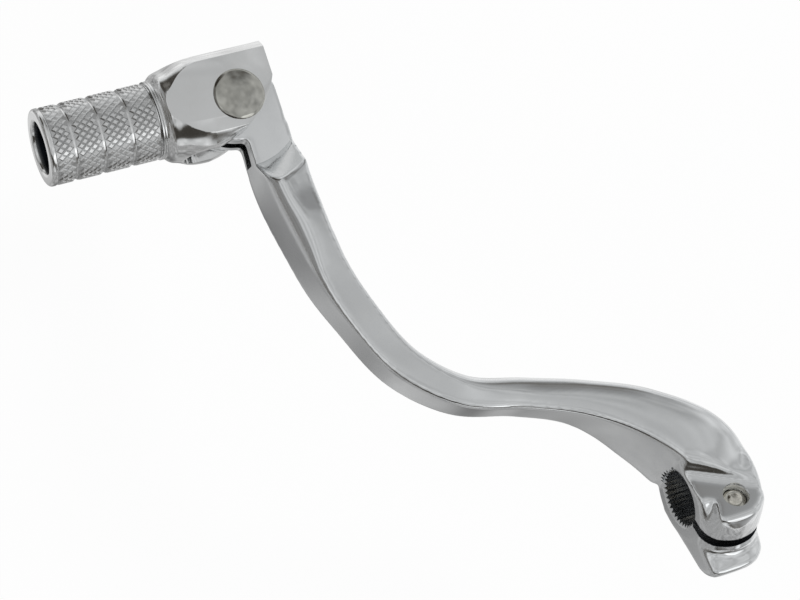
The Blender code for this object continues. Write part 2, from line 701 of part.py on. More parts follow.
def build_pivot_pin(parts):
    top = BLOCK_TOP + PIN_HEAD_GAP
    profile = [(0.0, top + PIN_HEAD_RISE)]
    for k in range(1, 7):
        angle = k * math.pi / 12.0
        profile.append((PIN_HEAD_RADIUS * math.sin(angle), top + PIN_HEAD_RISE * math.cos(angle)))
    profile[-1] = (PIN_HEAD_RADIUS, top + PIN_HEAD_RISE * 0.12)
    profile.append((PIN_HEAD_RADIUS, top))
    profile.append((PIN_RADIUS, top))
    profile.append((PIN_RADIUS, -top))
    profile.append((PIN_TAIL_RADIUS, -top))
    profile.append((PIN_TAIL_RADIUS, -top - PIN_TAIL_RISE * 0.3))
    profile.append((PIN_TAIL_RADIUS * 0.8, -top - PIN_TAIL_RISE * 0.85))
    profile.append((PIN_TAIL_RADIUS * 0.45, -top - PIN_TAIL_RISE))
    profile.append((0.0, -top - PIN_TAIL_RISE))
    pin = turned("pivot_pin", profile, parts, 48)
    pin.data.transform(PIN_FRAME)
    return pin


def build_return_spring(parts):
    rise = COIL_PITCH * COIL_TURNS / 2.0
    steps = 44
    points = [(-ARM_LEG_REACH, -COIL_RADIUS, -rise), (-ARM_LEG_REACH / 2.0, -COIL_RADIUS, -rise)]
    for k in range(steps + 1):
        angle = -math.pi / 2.0 + 2.0 * math.pi * COIL_TURNS * k / steps
        points.append((
            COIL_RADIUS * math.cos(angle), COIL_RADIUS * math.sin(angle), -rise + 2.0 * rise * k / steps))
    points.append((COIL_RADIUS, TIP_LEG_REACH / 2.0, rise))
    points.append((COIL_RADIUS, TIP_LEG_REACH, rise))
    curve = bpy.data.curves.new("return_spring", 'CURVE')
    curve.dimensions = '3D'
    curve.bevel_depth = WIRE_RADIUS
    curve.bevel_resolution = 2
    curve.use_fill_caps = True
    line = curve.splines.new('POLY')
    line.points.add(len(points) - 1)
    for slot, point in zip(line.points, points):
        slot.co = (*point, 1.0)
    spring = bpy.data.objects.new("return_spring", curve)
    parts.objects.link(spring)
    spring.matrix_world = PIN_FRAME
    return spring


def build_pinch_bolt(parts, cutters):
    seat = -BOLT_SEAT_DEPTH - BOLT_SEAT_GAP
    end = PAD_HEIGHT - BOLT_END_BELOW_PAD
    washer_low = seat - BOLT_WASHER_HEIGHT
    profile = [
        (0.0, end),
        (BOLT_RADIUS - BOLT_CHAMFER, end),
        (BOLT_RADIUS, end - BOLT_CHAMFER),
        (BOLT_RADIUS, seat),
        (BOLT_WASHER_RADIUS, seat),
        (BOLT_WASHER_RADIUS, washer_low),
        (0.0, washer_low),
    ]
    bolt = turned("pinch_bolt", profile, parts, SMALL_STEPS)
    corner = BOLT_HEAD_FLATS / 2.0 / math.cos(math.pi / 6.0)
    head = drum(corner, washer_low - BOLT_HEAD_HEIGHT, washer_low + BOLT_WASHER_HEIGHT / 2.0, 6)
    head = add_cutter("bolt_head", head, cutters)
    bevel(head, BOLT_CHAMFER / 2.0, 2)
    boolean(bolt, head, 'UNION')
    bake(bolt)
    bolt.data.transform(BOLT_FRAME)
    return bolt


def smooth(item, angle):
    mesh = item.data
    for polygon in mesh.polygons:
        polygon.use_smooth = True
    bm = bmesh.new()
    bm.from_mesh(mesh)
    for edge in bm.edges:
        edge.smooth = len(edge.link_faces) == 2 and edge.calc_face_angle() < angle
    bm.to_mesh(mesh)
    bm.free()


def main():
    clear_scene()
    parts = new_collection(COLLECTION_NAME)
    cutters = new_collection("cutters")
    polished = material("polished_aluminium", (0.82, 0.83, 0.84), 1.0, 0.14)
    turned_alloy = material("turned_aluminium", (0.80, 0.81, 0.82), 1.0, 0.22)
    pin_steel = material("pin_steel", (0.52, 0.52, 0.50), 1.0, 0.30)
    spring_steel = material("spring_steel", (0.12, 0.12, 0.12), 1.0, 0.40)
    bolt_steel = material("plated_bolt_steel", (0.72, 0.71, 0.68), 1.0, 0.22)

    arm = build_lever_arm(parts, cutters)
    tip = build_folding_tip(parts, cutters)
    bake(arm)
    bake(tip)
    pin = build_pivot_pin(parts)
    spring = build_return_spring(parts)
    bolt = build_pinch_bolt(parts, cutters)
    for item, look in (
            (arm, polished), (tip, turned_alloy), (pin, pin_steel),
            (spring, spring_steel), (bolt, bolt_steel)):
        item.data.materials.clear()
        item.data.materials.append(look)
    for item in (arm, tip, pin, bolt):
        smooth(item, math.radians(32.0))
    for item in (tip, pin):
        item.data.transform(PIN_FRAME.inverted())
        item.matrix_world = PIN_FRAME


main()
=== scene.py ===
import math

import bmesh
import bpy
from mathutils import Matrix, Vector


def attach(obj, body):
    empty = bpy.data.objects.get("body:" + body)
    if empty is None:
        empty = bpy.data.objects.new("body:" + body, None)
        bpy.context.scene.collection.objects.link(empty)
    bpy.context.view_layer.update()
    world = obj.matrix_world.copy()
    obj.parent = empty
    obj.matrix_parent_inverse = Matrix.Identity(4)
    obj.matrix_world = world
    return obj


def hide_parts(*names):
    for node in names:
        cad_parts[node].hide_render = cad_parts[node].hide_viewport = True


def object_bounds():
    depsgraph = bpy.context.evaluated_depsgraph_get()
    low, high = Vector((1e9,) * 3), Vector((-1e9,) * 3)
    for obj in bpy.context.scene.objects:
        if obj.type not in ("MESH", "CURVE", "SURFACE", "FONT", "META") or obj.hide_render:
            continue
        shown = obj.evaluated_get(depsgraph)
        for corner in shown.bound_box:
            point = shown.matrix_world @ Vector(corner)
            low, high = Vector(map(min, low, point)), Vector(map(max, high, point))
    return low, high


bl_info = {
    "name": "Motorcycle gear shift lever",
    "version": (1, 0, 0),
    "blender": (4, 5, 0),
    "location": "3D View > Sidebar > Shift Lever",
    "description": "Finishes the gear shift lever, its folding tip and the studio round it",
    "category": "Object",
}

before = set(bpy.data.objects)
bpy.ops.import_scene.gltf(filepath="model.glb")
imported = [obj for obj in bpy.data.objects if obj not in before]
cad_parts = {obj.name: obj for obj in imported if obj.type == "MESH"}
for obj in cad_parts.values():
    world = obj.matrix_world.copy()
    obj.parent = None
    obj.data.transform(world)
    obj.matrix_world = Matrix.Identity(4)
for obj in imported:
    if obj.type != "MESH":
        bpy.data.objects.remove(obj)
CAD_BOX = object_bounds()

# Sizes of the pieces are in millimetres, and MM turns them into metres
MM = 0.001
TIP_AXIS_X = 111.6
PIN_X = 110.5
PIVOT_Y = 61.2
PIVOT_Z = -20.0
PIN_BORE_RADIUS = 4.1
BORE_FRAME = Matrix.Rotation(-math.pi / 2.0, 4, 'X')
PIN_FRAME = Matrix.Translation((PIN_X * MM, PIVOT_Y * MM, PIVOT_Z * MM))
TIP_FRAME = Matrix.Translation((TIP_AXIS_X * MM, PIVOT_Y * MM, PIVOT_Z * MM))
TURN_FRAME = TIP_FRAME @ BORE_FRAME

# The clamp's own axes: along the slot away from the arm, inboard, and across the slot
SLOT_TILT = math.radians(28.0)
ALONG = Vector((-math.cos(SLOT_TILT), 0.0, math.sin(SLOT_TILT)))
ACROSS = Vector((math.sin(SLOT_TILT), 0.0, math.cos(SLOT_TILT)))
CLAMP_FRAME = Matrix((
    (ALONG.x, 0.0, ACROSS.x, 0.0),
    (ALONG.y, -1.0, ACROSS.y, 0.0),
    (ALONG.z, 0.0, ACROSS.z, 0.0),
    (0.0, 0.0, 0.0, 1.0)))
BOLT_FRAME = CLAMP_FRAME @ Matrix.Translation((7.5 * MM, 8.0 * MM, 0.0))

# The clamp boss, its splined bore and its slot
BOSS_RADIUS = 9.9
BOSS_INBOARD = -14.9
BOSS_EDGE = 0.9
SPLINES = 36
SPLINE_ROOT = 6.55
SPLINE_CREST = 5.85
SLOT_HALF = 1.15

# Centre line of the arm: x, y, width, height, lean of the outer side, shoulder, inner ridge, fall, slope
ARM = (
    (-2.0, -8.3, 13.0, 15.9, 0.0, 1.0, 4.8, 2.8, 0.02),
    (7.9, -7.5, 13.75, 17.8, 2.3, 1.0, 6.0, 3.2, 0.03),
    (18.8, 1.5, 11.2, 15.6, 2.0, 1.0, 4.6, 3.8, 0.05),
    (25.9, 12.9, 8.4, 12.6, 0.0, 1.0, 2.0, 3.6, 0.14),
    (30.8, 25.1, 7.2, 11.0, 0.0, 1.0, 1.2, 3.4, 0.28),
    (34.9, 37.6, 7.2, 11.0, 0.0, 1.0, -0.8, 3.0, 0.30),
    (43.5, 46.9, 7.3, 11.0, 0.0, 1.0, -2.2, 1.6, 0.30),
    (57.4, 52.7, 7.5, 11.3, 0.0, 1.0, -3.1, 0.9, 0.25),
    (67.0, 55.0, 7.6, 12.3, 0.5, 1.9, -3.2, 0.8, 0.15),
    (75.0, 55.7, 7.8, 13.0, 0.9, 3.6, -3.4, 0.6, 0.10),
    (91.0, 56.2, 9.4, 13.4, 0.9, 4.2, -4.2, 0.6, 0.10),
    (99.0, 56.0, 9.7, 13.4, 0.3, 3.0, -4.3, 0.6, 0.10),
    (103.5, 55.9, 9.8, 13.4, 0.0, 0.6, -4.4, 0.6, 0.10),
)
SPAN_STEPS = 12
LEVEL_END_X = 10.0

# The dish in the arm's top before the ramp, and the grain of the mesh that rounds the forging
DISH_X = 88.5
DISH_REACH = 9.0
DISH_DEPTH = 0.75
FORGING_GRAIN = 0.36

# The tongue: half heights before and after milling, and the mill's radius at its foot and at the ramp's head
TONGUE_RADIUS = 8.8
TONGUE_BACK = -15.0
TONGUE_BLANK = 4.6
TONGUE_HALF = 4.2
RAMP_RISE = 10.0
ROUGH_RAMP = (14.4, 24.4)
CLEAN_RAMP = (14.6, 22.6)
SPRING_SLOT_HALF = 1.6

# The bolt's face and the edge of the roll over it, as heights across the slot
PAD_FLOOR = 7.5
PAD_BRINK = 9.6

# The folding tip: its block's faces, its fork and the knurl of its grip; FAR is past every side of it
FAR = 24.6
BLOCK_HALF = 9.4
BLOCK_FRONT = 9.75
BLOCK_REAR = -10.2
BLOCK_END = 17.0
FORK_HALF = 4.35
FORK_DEPTH = 9.1
KNURL_BANDS = ((18.35, 23.9), (24.5, 30.4), (31.0, 36.6), (37.2, 41.2))
KNURL_COLUMNS = 66
KNURL_ROW = 0.95
KNURL_VALLEY = 8.12
KNURL_TOP = 8.4
KNURL_FLAT = 0.55

# Painted shade in holes and slots, painted shade in the knurl's valleys, and satin parts, the same in every
# metal
SHADOW_COLOUR = (0.03, 0.035, 0.045)
VALLEY_SHADE_SHARE = 0.72
SHADOW_ROUGHNESS = 0.3
SATIN_ROUGHNESS = 0.16

# The studio, in metres
STUDIO_CENTRE = (0.05, 0.04, 0.0)
TENT_RADIUS = 0.75
CARD_RADIUS = 0.6
CARD_LIFT = 0.004
LAMP_AIM = (0.05, 0.03, 0.0)

# Patches of the tent: direction, outer edge and core as cosines, and strength
PATCHES = (
    ((-0.75, -0.33, 0.57), 0.93, 0.97, 0.80),
    ((0.87, 0.30, 0.28), 0.93, 0.975, -0.56),
    ((-0.74, 0.50, 0.45), 0.93, 0.975, -0.40),
    ((-0.95, 0.26, -0.12), 0.90, 0.98, 0.55),
    ((0.75, -0.35, 0.56), 0.90, 0.965, -0.20),
    ((0.86, -0.36, 0.36), 0.91, 0.985, -0.24),
    ((0.05, 0.62, 0.78), 0.94, 0.99, 0.16),
)

# The camera's place, and the directions of the picture's right and lower edge
CAMERA_PLACE = (-0.00962, 0.21055, 0.46646)
PICTURE_RIGHT = (-0.3135, -0.9082, 0.2772)
PICTURE_DOWN = (-0.9402, 0.2559, -0.2248)


class LeverSizes(bpy.types.PropertyGroup):
    """Sizes that may be changed"""
    polish_wave: bpy.props.FloatProperty(
        name="Polish wave", description="Depth of the soft waves that hand polishing leaves",
        default=0.000012, min=0.0, subtype='DISTANCE', unit='LENGTH')
    camera_lens: bpy.props.FloatProperty(
        name="Lens", description="Focal length of the camera in millimetres",
        default=108.0, min=10.0, unit='CAMERA')
    floor_drop: bpy.props.FloatProperty(
        name="Floor drop", description="How far the floor lies under the lowest point",
        default=0.045, min=0.0, subtype='DISTANCE', unit='LENGTH')


class LeverColours(bpy.types.PropertyGroup):
    """Colours of the metals"""
    polished: bpy.props.FloatVectorProperty(
        name="Polished aluminium", description="Colour of the polished forging",
        default=(0.80, 0.81, 0.815), size=3, min=0.0, max=1.0, subtype='COLOR')
    turned: bpy.props.FloatVectorProperty(
        name="Turned aluminium", description="Colour of the turned and knurled tip",
        default=(0.82, 0.825, 0.825), size=3, min=0.0, max=1.0, subtype='COLOR')
    pin: bpy.props.FloatVectorProperty(
        name="Pin steel", description="Colour of the pressed pin head",
        default=(0.48, 0.475, 0.44), size=3, min=0.0, max=1.0, subtype='COLOR')
    spring: bpy.props.FloatVectorProperty(
        name="Spring steel", description="Colour of the oiled spring wire",
        default=(0.10, 0.10, 0.10), size=3, min=0.0, max=1.0, subtype='COLOR')
    bolt: bpy.props.FloatVectorProperty(
        name="Bolt plating", description="Colour of the plated pinch bolt",
        default=(0.66, 0.64, 0.58), size=3, min=0.0, max=1.0, subtype='COLOR')


# Modelling by hand

def choose(*items):
    """Selects these objects alone, with the first of them active."""
    bpy.ops.object.select_all(action='DESELECT')
    for item in items:
        item.select_set(True)
    bpy.context.view_layer.objects.active = items[0]


def finish_with(item, kind, **values):
    """Adds one modifier and applies it."""
    step = item.modifiers.new(kind.lower(), kind)
    for key, value in values.items():
        setattr(step, key, value)
    choose(item)
    bpy.ops.object.modifier_apply(modifier=step.name)


def settle(item):
    """Leaves the object at the origin, unturned and unscaled, with its place in its mesh."""
    choose(item)
    bpy.ops.object.transform_apply(location=True, rotation=True, scale=True)
    return item


def outward(item):
    """Closes the seams and turns every face outwards."""
    choose(item)
    bpy.ops.object.mode_set(mode='EDIT')
    bpy.ops.mesh.select_all(action='SELECT')
    bpy.ops.mesh.remove_doubles(threshold=0.0000005)
    bpy.ops.mesh.normals_make_consistent(inside=False)
    bpy.ops.object.mode_set(mode='OBJECT')


def start_circle(name, corners, fill_type='NGON'):
    """The circle that a prism, a turned piece or a skin starts from."""
    bpy.ops.object.select_all(action='DESELECT')
    bpy.ops.mesh.primitive_circle_add(vertices=corners, radius=MM, fill_type=fill_type)
    item = bpy.context.object
    item.name = name
    return item


def drum(name, radius, low, high, frame_matrix, steps=96, top_radius=None):
    """A round bar or cone along the frame's third axis."""
    bpy.ops.object.select_all(action='DESELECT')
    bpy.ops.mesh.primitive_cone_add(
        vertices=steps, radius1=radius * MM, radius2=(radius if top_radius is None else top_radius) * MM,
        depth=(high - low) * MM, location=(0.0, 0.0, (high + low) / 2.0 * MM))
    item = settle(bpy.context.object)
    item.name = name
    item.data.transform(frame_matrix)
    return item


def block(name, low, high, frame_matrix):
    """A block between two corners of the frame."""
    bpy.ops.object.select_all(action='DESELECT')
    centre = [(a + b) / 2.0 * MM for a, b in zip(low, high)]
    bpy.ops.mesh.primitive_cube_add(size=1.0, location=centre)
    item = bpy.context.object
    item.scale = [(b - a) * MM for a, b in zip(low, high)]
    item = settle(item)
    item.name = name
    item.data.transform(frame_matrix)
    return item


def prism(name, outline, low, high, frame_matrix):
    """A flat outline extruded along the frame's third axis."""
    item = start_circle(name, len(outline))
    for corner, (across, up) in zip(item.data.vertices, outline):
        corner.co = (across * MM, up * MM, low * MM)
    bpy.ops.object.mode_set(mode='EDIT')
    bpy.ops.mesh.select_all(action='SELECT')
    bpy.ops.mesh.extrude_region_move(TRANSFORM_OT_translate={"value": (0.0, 0.0, (high - low) * MM)})
    bpy.ops.object.mode_set(mode='OBJECT')
    outward(item)
    item.data.transform(frame_matrix)
    return item


def turned(name, profile, steps, frame_matrix):
    """A profile of radius and height, turned round the frame's third axis."""
    item = start_circle(name, len(profile), 'NOTHING')
    last = len(profile) - 1
    for corner, (radius, height) in zip(item.data.vertices, profile):
        corner.co = (radius * MM, 0.0, height * MM)
    for edge in item.data.edges:
        edge.select = set(edge.vertices) == {0, last}
    bpy.context.tool_settings.mesh_select_mode = (False, True, False)
    bpy.ops.object.mode_set(mode='EDIT')
    bpy.ops.mesh.delete(type='EDGE')
    bpy.ops.object.mode_set(mode='OBJECT')
    bpy.context.tool_settings.mesh_select_mode = (True, False, False)
    finish_with(item, 'SCREW', axis='Z', steps=steps, render_steps=steps,
                use_merge_vertices=True, merge_threshold=0.000001)
    outward(item)
    item.data.transform(frame_matrix)
    return item


def skin(name, rings):
    """A closed skin through rings of points, one extrusion for each ring."""
    item = start_circle(name, len(rings[0]))
    for corner, point in zip(item.data.vertices, rings[0]):
        corner.co = point
    bpy.ops.object.mode_set(mode='EDIT')
    bpy.ops.mesh.select_all(action='SELECT')
    for before, ring in zip(rings, rings[1:]):
        bpy.ops.mesh.extrude_region_move()
        edit = bmesh.from_edit_mesh(item.data)
        follow = {tuple(old): new for old, new in zip(before, ring)}
        for vert in edit.verts:
            if vert.select:
                vert.co = follow[tuple(vert.co)]
        bmesh.update_edit_mesh(item.data)
    bpy.ops.object.mode_set(mode='OBJECT')
    outward(item)
    return item


def combine(item, other, operation):
    """Joins another solid to a piece, or takes it away."""
    finish_with(item, 'BOOLEAN', operation=operation, object=other, solver='MANIFOLD')
    bpy.data.objects.remove(other)


def cut(item, cutter):
    """Takes a cutter away from a piece."""
    combine(item, cutter, 'DIFFERENCE')


def rounded(item, width, segments=4, angle=30.0):
    """Rounds the edges that turn by more than an angle."""
    finish_with(item, 'BEVEL', width=width * MM, segments=segments, limit_method='ANGLE',
                angle_limit=math.radians(angle))
    return item


def shade(item, angle):
    """Shades the piece smooth up to an angle."""
    choose(item)
    bpy.ops.object.shade_smooth_by_angle(angle=math.radians(angle))


def mark(item, name, amount):
    """Stores a value from 0 to 1 on each point, for the materials to read."""
    layer = item.data.attributes.new(name, 'FLOAT', 'POINT')
    for vert, slot in zip(item.data.vertices, layer.data):
        slot.value = max(0.0, min(1.0, amount(vert)))


def soften(item, turns, reach, factor=0.5):
    """Rounds the mesh softly, most where the named reach says."""
    group = item.vertex_groups.new(name="soft")
    for vert in item.data.vertices:
        group.add([vert.index], max(0.0, min(1.0, reach(vert.co))), 'REPLACE')
    finish_with(item, 'SMOOTH', factor=factor, iterations=turns, vertex_group="soft")
    item.vertex_groups.clear()


# Curves

def cubic(t, start, leave, stop, arrive):
    """A value between two, with a slope at each."""
    t2 = t * t
    t3 = t2 * t
    return ((2.0 * t3 - 3.0 * t2 + 1.0) * start + (t3 - 2.0 * t2 + t) * leave
            + (3.0 * t2 - 2.0 * t3) * stop + (t3 - t2) * arrive)


def curve_through(points, steps):
    """A smooth line through points in a plane, with so many steps from one to the next."""
    made = [points[0]]
    last = len(points) - 1
    for index in range(last):
        near = (points[max(index - 1, 0)], points[index], points[index + 1], points[min(index + 2, last)])
        for k in range(1, steps + 1):
            made.append(tuple(
                cubic(k / steps, b, (c - a) / 2.0, c, (d - b) / 2.0) for a, b, c, d in zip(*near)))
    return made


def bow(start, pull, stop, steps, first=0):
    """A line from one place to another, drawn towards a third."""
    points = []
    for k in range(first, steps + 1):
        t = k / steps
        points.append(tuple(start * (1.0 - t) ** 2 + pull * 2.0 * t * (1.0 - t) + stop * t * t))
    return points


def quarter(across, up, radius, start, steps, way=1.0):
    """A quarter circle round a centre from an angle on, turning back where way is -1."""
    points = []
    for k in range(steps + 1):
        angle = start + way * math.pi / 2.0 * k / steps
        points.append((across + radius * math.cos(angle), up + radius * math.sin(angle)))
    return points


# Arm

def arm_height(x):
    """Height of the arm's centre, which falls evenly to the pivot."""
    return PIVOT_Z * (x - LEVEL_END_X) / (TIP_AXIS_X - LEVEL_END_X)


def blend(places, index, t):
    """Cubic between two places, with slopes from their neighbours."""
    last = len(places) - 1
    a = places[max(index - 1, 0)]
    b = places[index]
    c = places[index + 1]
    d = places[min(index + 2, last)]
    span = math.dist(b[:2], c[:2])
    before = max(math.dist(a[:2], b[:2]), 0.001)
    after = max(math.dist(c[:2], d[:2]), 0.001)
    mixed = []
    for p, q, r, s in zip(a, b, c, d):
        slope = (r - q) / span
        leave = ((q - p) / before * span + slope * before) / (span + before) if index else slope
        arrive = (slope * after + (s - r) / after * span) / (span + after) if index + 1 < last else slope
        mixed.append(cubic(t, q, leave * span, r, arrive * span))
    return mixed


def arm_section(width, height, lean, shoulder, ridge, fall, slope):
    """Soft shoulder, plain outer side, underside, inner side, inner roll and flat top."""
    half = width / 2.0
    tall = height / 2.0
    points = []
    for k in range(9):
        bend = math.pi / 2.0 * (k / 8.0)
        points.append((half - shoulder * (1.0 - math.sin(bend)),
                       tall - 0.85 * shoulder * (1.0 - math.cos(bend))))
    # The two lower edges: place, radius and the angle at which each starts
    for across, radius, turn in ((half + lean, 1.2, 0.0), (-half, 1.8, -0.5 * math.pi)):
        points += quarter(across - math.copysign(radius, across), -tall + radius, radius, turn, 6, -1.0)
    reach = ridge + half
    roundness = 2.0 / 2.5
    for k in range(13):
        angle = math.pi / 2.0 * (1.0 - k / 12.0)
        run = reach * math.sin(angle) ** roundness
        drop = (fall - slope * reach) * (1.0 - max(math.cos(angle), 0.0) ** roundness)
        points.append((ridge - run, tall - slope * run - drop))
    for k in range(1, 5):
        points.append((ridge + (half - shoulder - ridge) * k / 5.0, tall))
    return points


def arm_rings():
    """Sections along the centre line, with the top dished before the tongue."""
    path = []
    for index in range(len(ARM) - 1):
        for k in range(SPAN_STEPS):
            path.append(blend(ARM, index, k / SPAN_STEPS))
    path.append(list(ARM[-1]))
    rings = []
    for i, place in enumerate(path):
        ahead = path[min(i + 1, len(path) - 1)]
        behind = path[max(i - 1, 0)]
        heading = Vector((ahead[0] - behind[0], ahead[1] - behind[1], 0.0)).normalized()
        side = Vector((-heading.y, heading.x, 0.0))
        centre = Vector((place[0], place[1], arm_height(place[0])))
        ring = []
        dish = DISH_DEPTH * max(0.0, 1.0 - ((place[0] - DISH_X) / DISH_REACH) ** 2) ** 2
        for across, up in arm_section(*place[2:]):
            if up > place[3] / 2.0 - 2.0:
                up -= dish * max(0.0, min(1.0, 0.75 - across / 4.0))
            ring.append((centre + side * across + Vector((0.0, 0.0, up))) * MM)
        rings.append(ring)
    return rings


def tongue_outline():
    """Plan of the tongue round the pin: round behind, square at the stop, straight inboard."""
    outline = [(TONGUE_BACK, -9.94)]
    outline += quarter(0.0, -1.2, TONGUE_RADIUS, -math.pi / 2.0, 24)
    outline += [(TONGUE_RADIUS, 1.2), (6.8, TONGUE_RADIUS)]
    outline += quarter(0.0, 0.0, TONGUE_RADIUS, math.pi / 2.0, 32)
    outline += [(-TONGUE_RADIUS, -2.4), (TONGUE_BACK, -4.4)]
    return outline


# Clamp nose seen across the slot: corners of its outline as along and inboard, from the root round the front
NOSE_AT_PAD = (
    (-4.0, 0.05), (1.0, 0.05), (3.6, 1.5), (5.7, 3.3), (7.7, 3.1), (9.4, 2.6), (11.2, 1.9), (12.3, 2.3),
    (12.9, 3.6), (13.0, 5.6), (13.0, 7.8), (12.7, 10.2), (11.0, 12.7), (8.0, 14.2), (-4.0, 14.6))
NOSE_AT_SLOT = (
    (-4.0, 0.05), (2.0, 0.05), (4.3, 0.05), (6.2, 0.05), (8.0, 0.05), (9.7, 0.05), (11.5, 0.9), (12.8, 2.1),
    (13.6, 3.8), (14.2, 5.9), (14.1, 8.1), (13.4, 10.6), (11.4, 13.0), (8.4, 14.3), (-4.0, 14.6))
NOSE_AT_EAR = (
    (-4.0, 0.05), (2.0, 0.05), (5.0, 0.05), (8.0, 0.05), (11.0, 0.05), (14.0, 0.05), (15.8, 0.1), (16.9, 0.5),
    (17.4, 1.8), (17.5, 4.0), (17.5, 6.4), (17.2, 9.4), (15.8, 12.2), (12.0, 14.0), (-4.0, 14.6))
NOSE_ROOT = 4.0

# Each level of the nose: height, the outlines below and above it, share of the second, and reach
NOSE_LEVELS = (
    (-9.5, NOSE_AT_EAR, NOSE_AT_EAR, 0.0, 0.80), (-8.7, NOSE_AT_EAR, NOSE_AT_EAR, 0.0, 0.89),
    (-7.2, NOSE_AT_EAR, NOSE_AT_EAR, 0.0, 0.97), (-5.4, NOSE_AT_EAR, NOSE_AT_EAR, 0.0, 1.0),
    (-4.7, NOSE_AT_EAR, NOSE_AT_SLOT, 0.15, 1.0), (-4.1, NOSE_AT_EAR, NOSE_AT_SLOT, 0.6, 1.0),
    (-3.3, NOSE_AT_EAR, NOSE_AT_SLOT, 0.95, 1.0), (-1.15, NOSE_AT_SLOT, NOSE_AT_PAD, 0.0, 1.0),
    (1.15, NOSE_AT_SLOT, NOSE_AT_PAD, 0.0, 1.0), (3.0, NOSE_AT_SLOT, NOSE_AT_PAD, 0.12, 1.0),
    (5.0, NOSE_AT_SLOT, NOSE_AT_PAD, 0.45, 1.0), (6.4, NOSE_AT_SLOT, NOSE_AT_PAD, 0.8, 1.0),
    (7.3, NOSE_AT_SLOT, NOSE_AT_PAD, 1.0, 0.99), (7.7, NOSE_AT_SLOT, NOSE_AT_PAD, 1.0, 0.95),
    (8.4, NOSE_AT_SLOT, NOSE_AT_PAD, 1.0, 0.80))


def nose_rings():
    """Outlines of the clamp nose, stacked across the slot."""
    rings = []
    for height, lower, upper, share, reach in NOSE_LEVELS:
        corners = [((1.0 - share) * a + share * b, (1.0 - share) * c + share * d)
                   for (a, c), (b, d) in zip(lower, upper)]
        corners = [((along + NOSE_ROOT) * reach - NOSE_ROOT, inboard) for along, inboard in corners]
        rings.append([CLAMP_FRAME @ Vector((along * MM, inboard * MM, height * MM))
                      for along, inboard in curve_through(corners, 4)])
    return rings


def top_of(item, x, y):
    """Height of the piece's top at a place."""
    hit, place, *_ = item.ray_cast((x * MM, y * MM, 0.05), (0.0, 0.0, -1.0))
    return place.z / MM if hit else 0.0


def pad_mill(arm):
    """The cutter of the bolt's face, which leaves the rolled end of the arm's top over it."""
    rings = []
    # The slot's tilt as cosine and sine
    run, rise = 0.883, 0.469
    for k in range(16):
        depth = -2.0 + 19.0 * k / 15.0
        edge = -2.2 + 0.55 * depth
        # The roll leaves the arm's top at this place, along the top's own slope
        x = 9.6 - 0.36 * depth
        y = -max(1.2, min(13.4, depth))
        top = top_of(arm, x, y)
        fall = (top_of(arm, x + 1.5, y) - top) / 1.5
        start = Vector((-run * x + rise * top, rise * x + run * top))
        ahead = Vector((run - rise * fall, -rise - run * fall))
        knee = start + ahead * ((edge - 0.3 - start.x) / ahead.x)
        brink = Vector((edge + 0.2, PAD_BRINK))
        heel = Vector((edge + 0.6, PAD_FLOOR))
        end = Vector((edge + 3.0, PAD_FLOOR))
        outline = [(30.0, 24.0), (start.x - 6.0, 24.0), tuple(start - ahead * 5.0 + Vector((0.0, 0.6)))]
        outline += bow(start, knee, brink, 12) + bow(brink, heel, end, 8, 1)
        outline.append((30.0, PAD_FLOOR))
        rings.append([CLAMP_FRAME @ Vector((along * MM, depth * MM, height * MM))
                      for along, height in outline])
    return skin("pad_mill", rings)


def mill_tongue(arm, foot, head):
    """Cuts both faces of the tongue free, with a ramp up to the arm."""
    for flip in (0.0, math.pi):
        face = PIN_FRAME @ Matrix.Rotation(flip, 4, 'X')
        cut(arm, drum("mill", foot, TONGUE_HALF, TONGUE_HALF + RAMP_RISE, face, 128, head))


def divide_bore(item):
    """Divides the long edges of the splines, so that the shade can follow their depth."""
    edit = bmesh.new()
    edit.from_mesh(item.data)
    near = SPLINE_ROOT + 0.2
    long_edges = []
    for edge in edit.edges:
        a, b = (vert.co / MM for vert in edge.verts)
        if math.hypot(a.x, a.z) < near and math.hypot(b.x, b.z) < near and abs(a.y - b.y) > 4.0:
            long_edges.append(edge)
    bmesh.ops.subdivide_edges(edit, edges=long_edges, cuts=7)
    bmesh.ops.triangulate(edit, faces=[face for face in edit.faces if len(face.verts) > 4])
    edit.to_mesh(item.data)
    edit.free()


def arm_shadow(vert):
    """Shade inside the bore, deeper towards its middle, and in the clamp's slot."""
    place = vert.co / MM
    inside = min(-0.15 - place.y, place.y + 14.85) / 6.0
    if math.hypot(place.x, place.z) < SPLINE_ROOT + 0.07:
        return 0.1 + 0.6 * min(1.0, inside) if inside > 0.0 else 0.0
    across = abs(place.x * ACROSS.x + place.z * ACROSS.z)
    along = place.x * ALONG.x + place.z * ALONG.z
    return 1.0 if across < 1.2 and along > 0.0 and place.x < 5.0 else 0.0


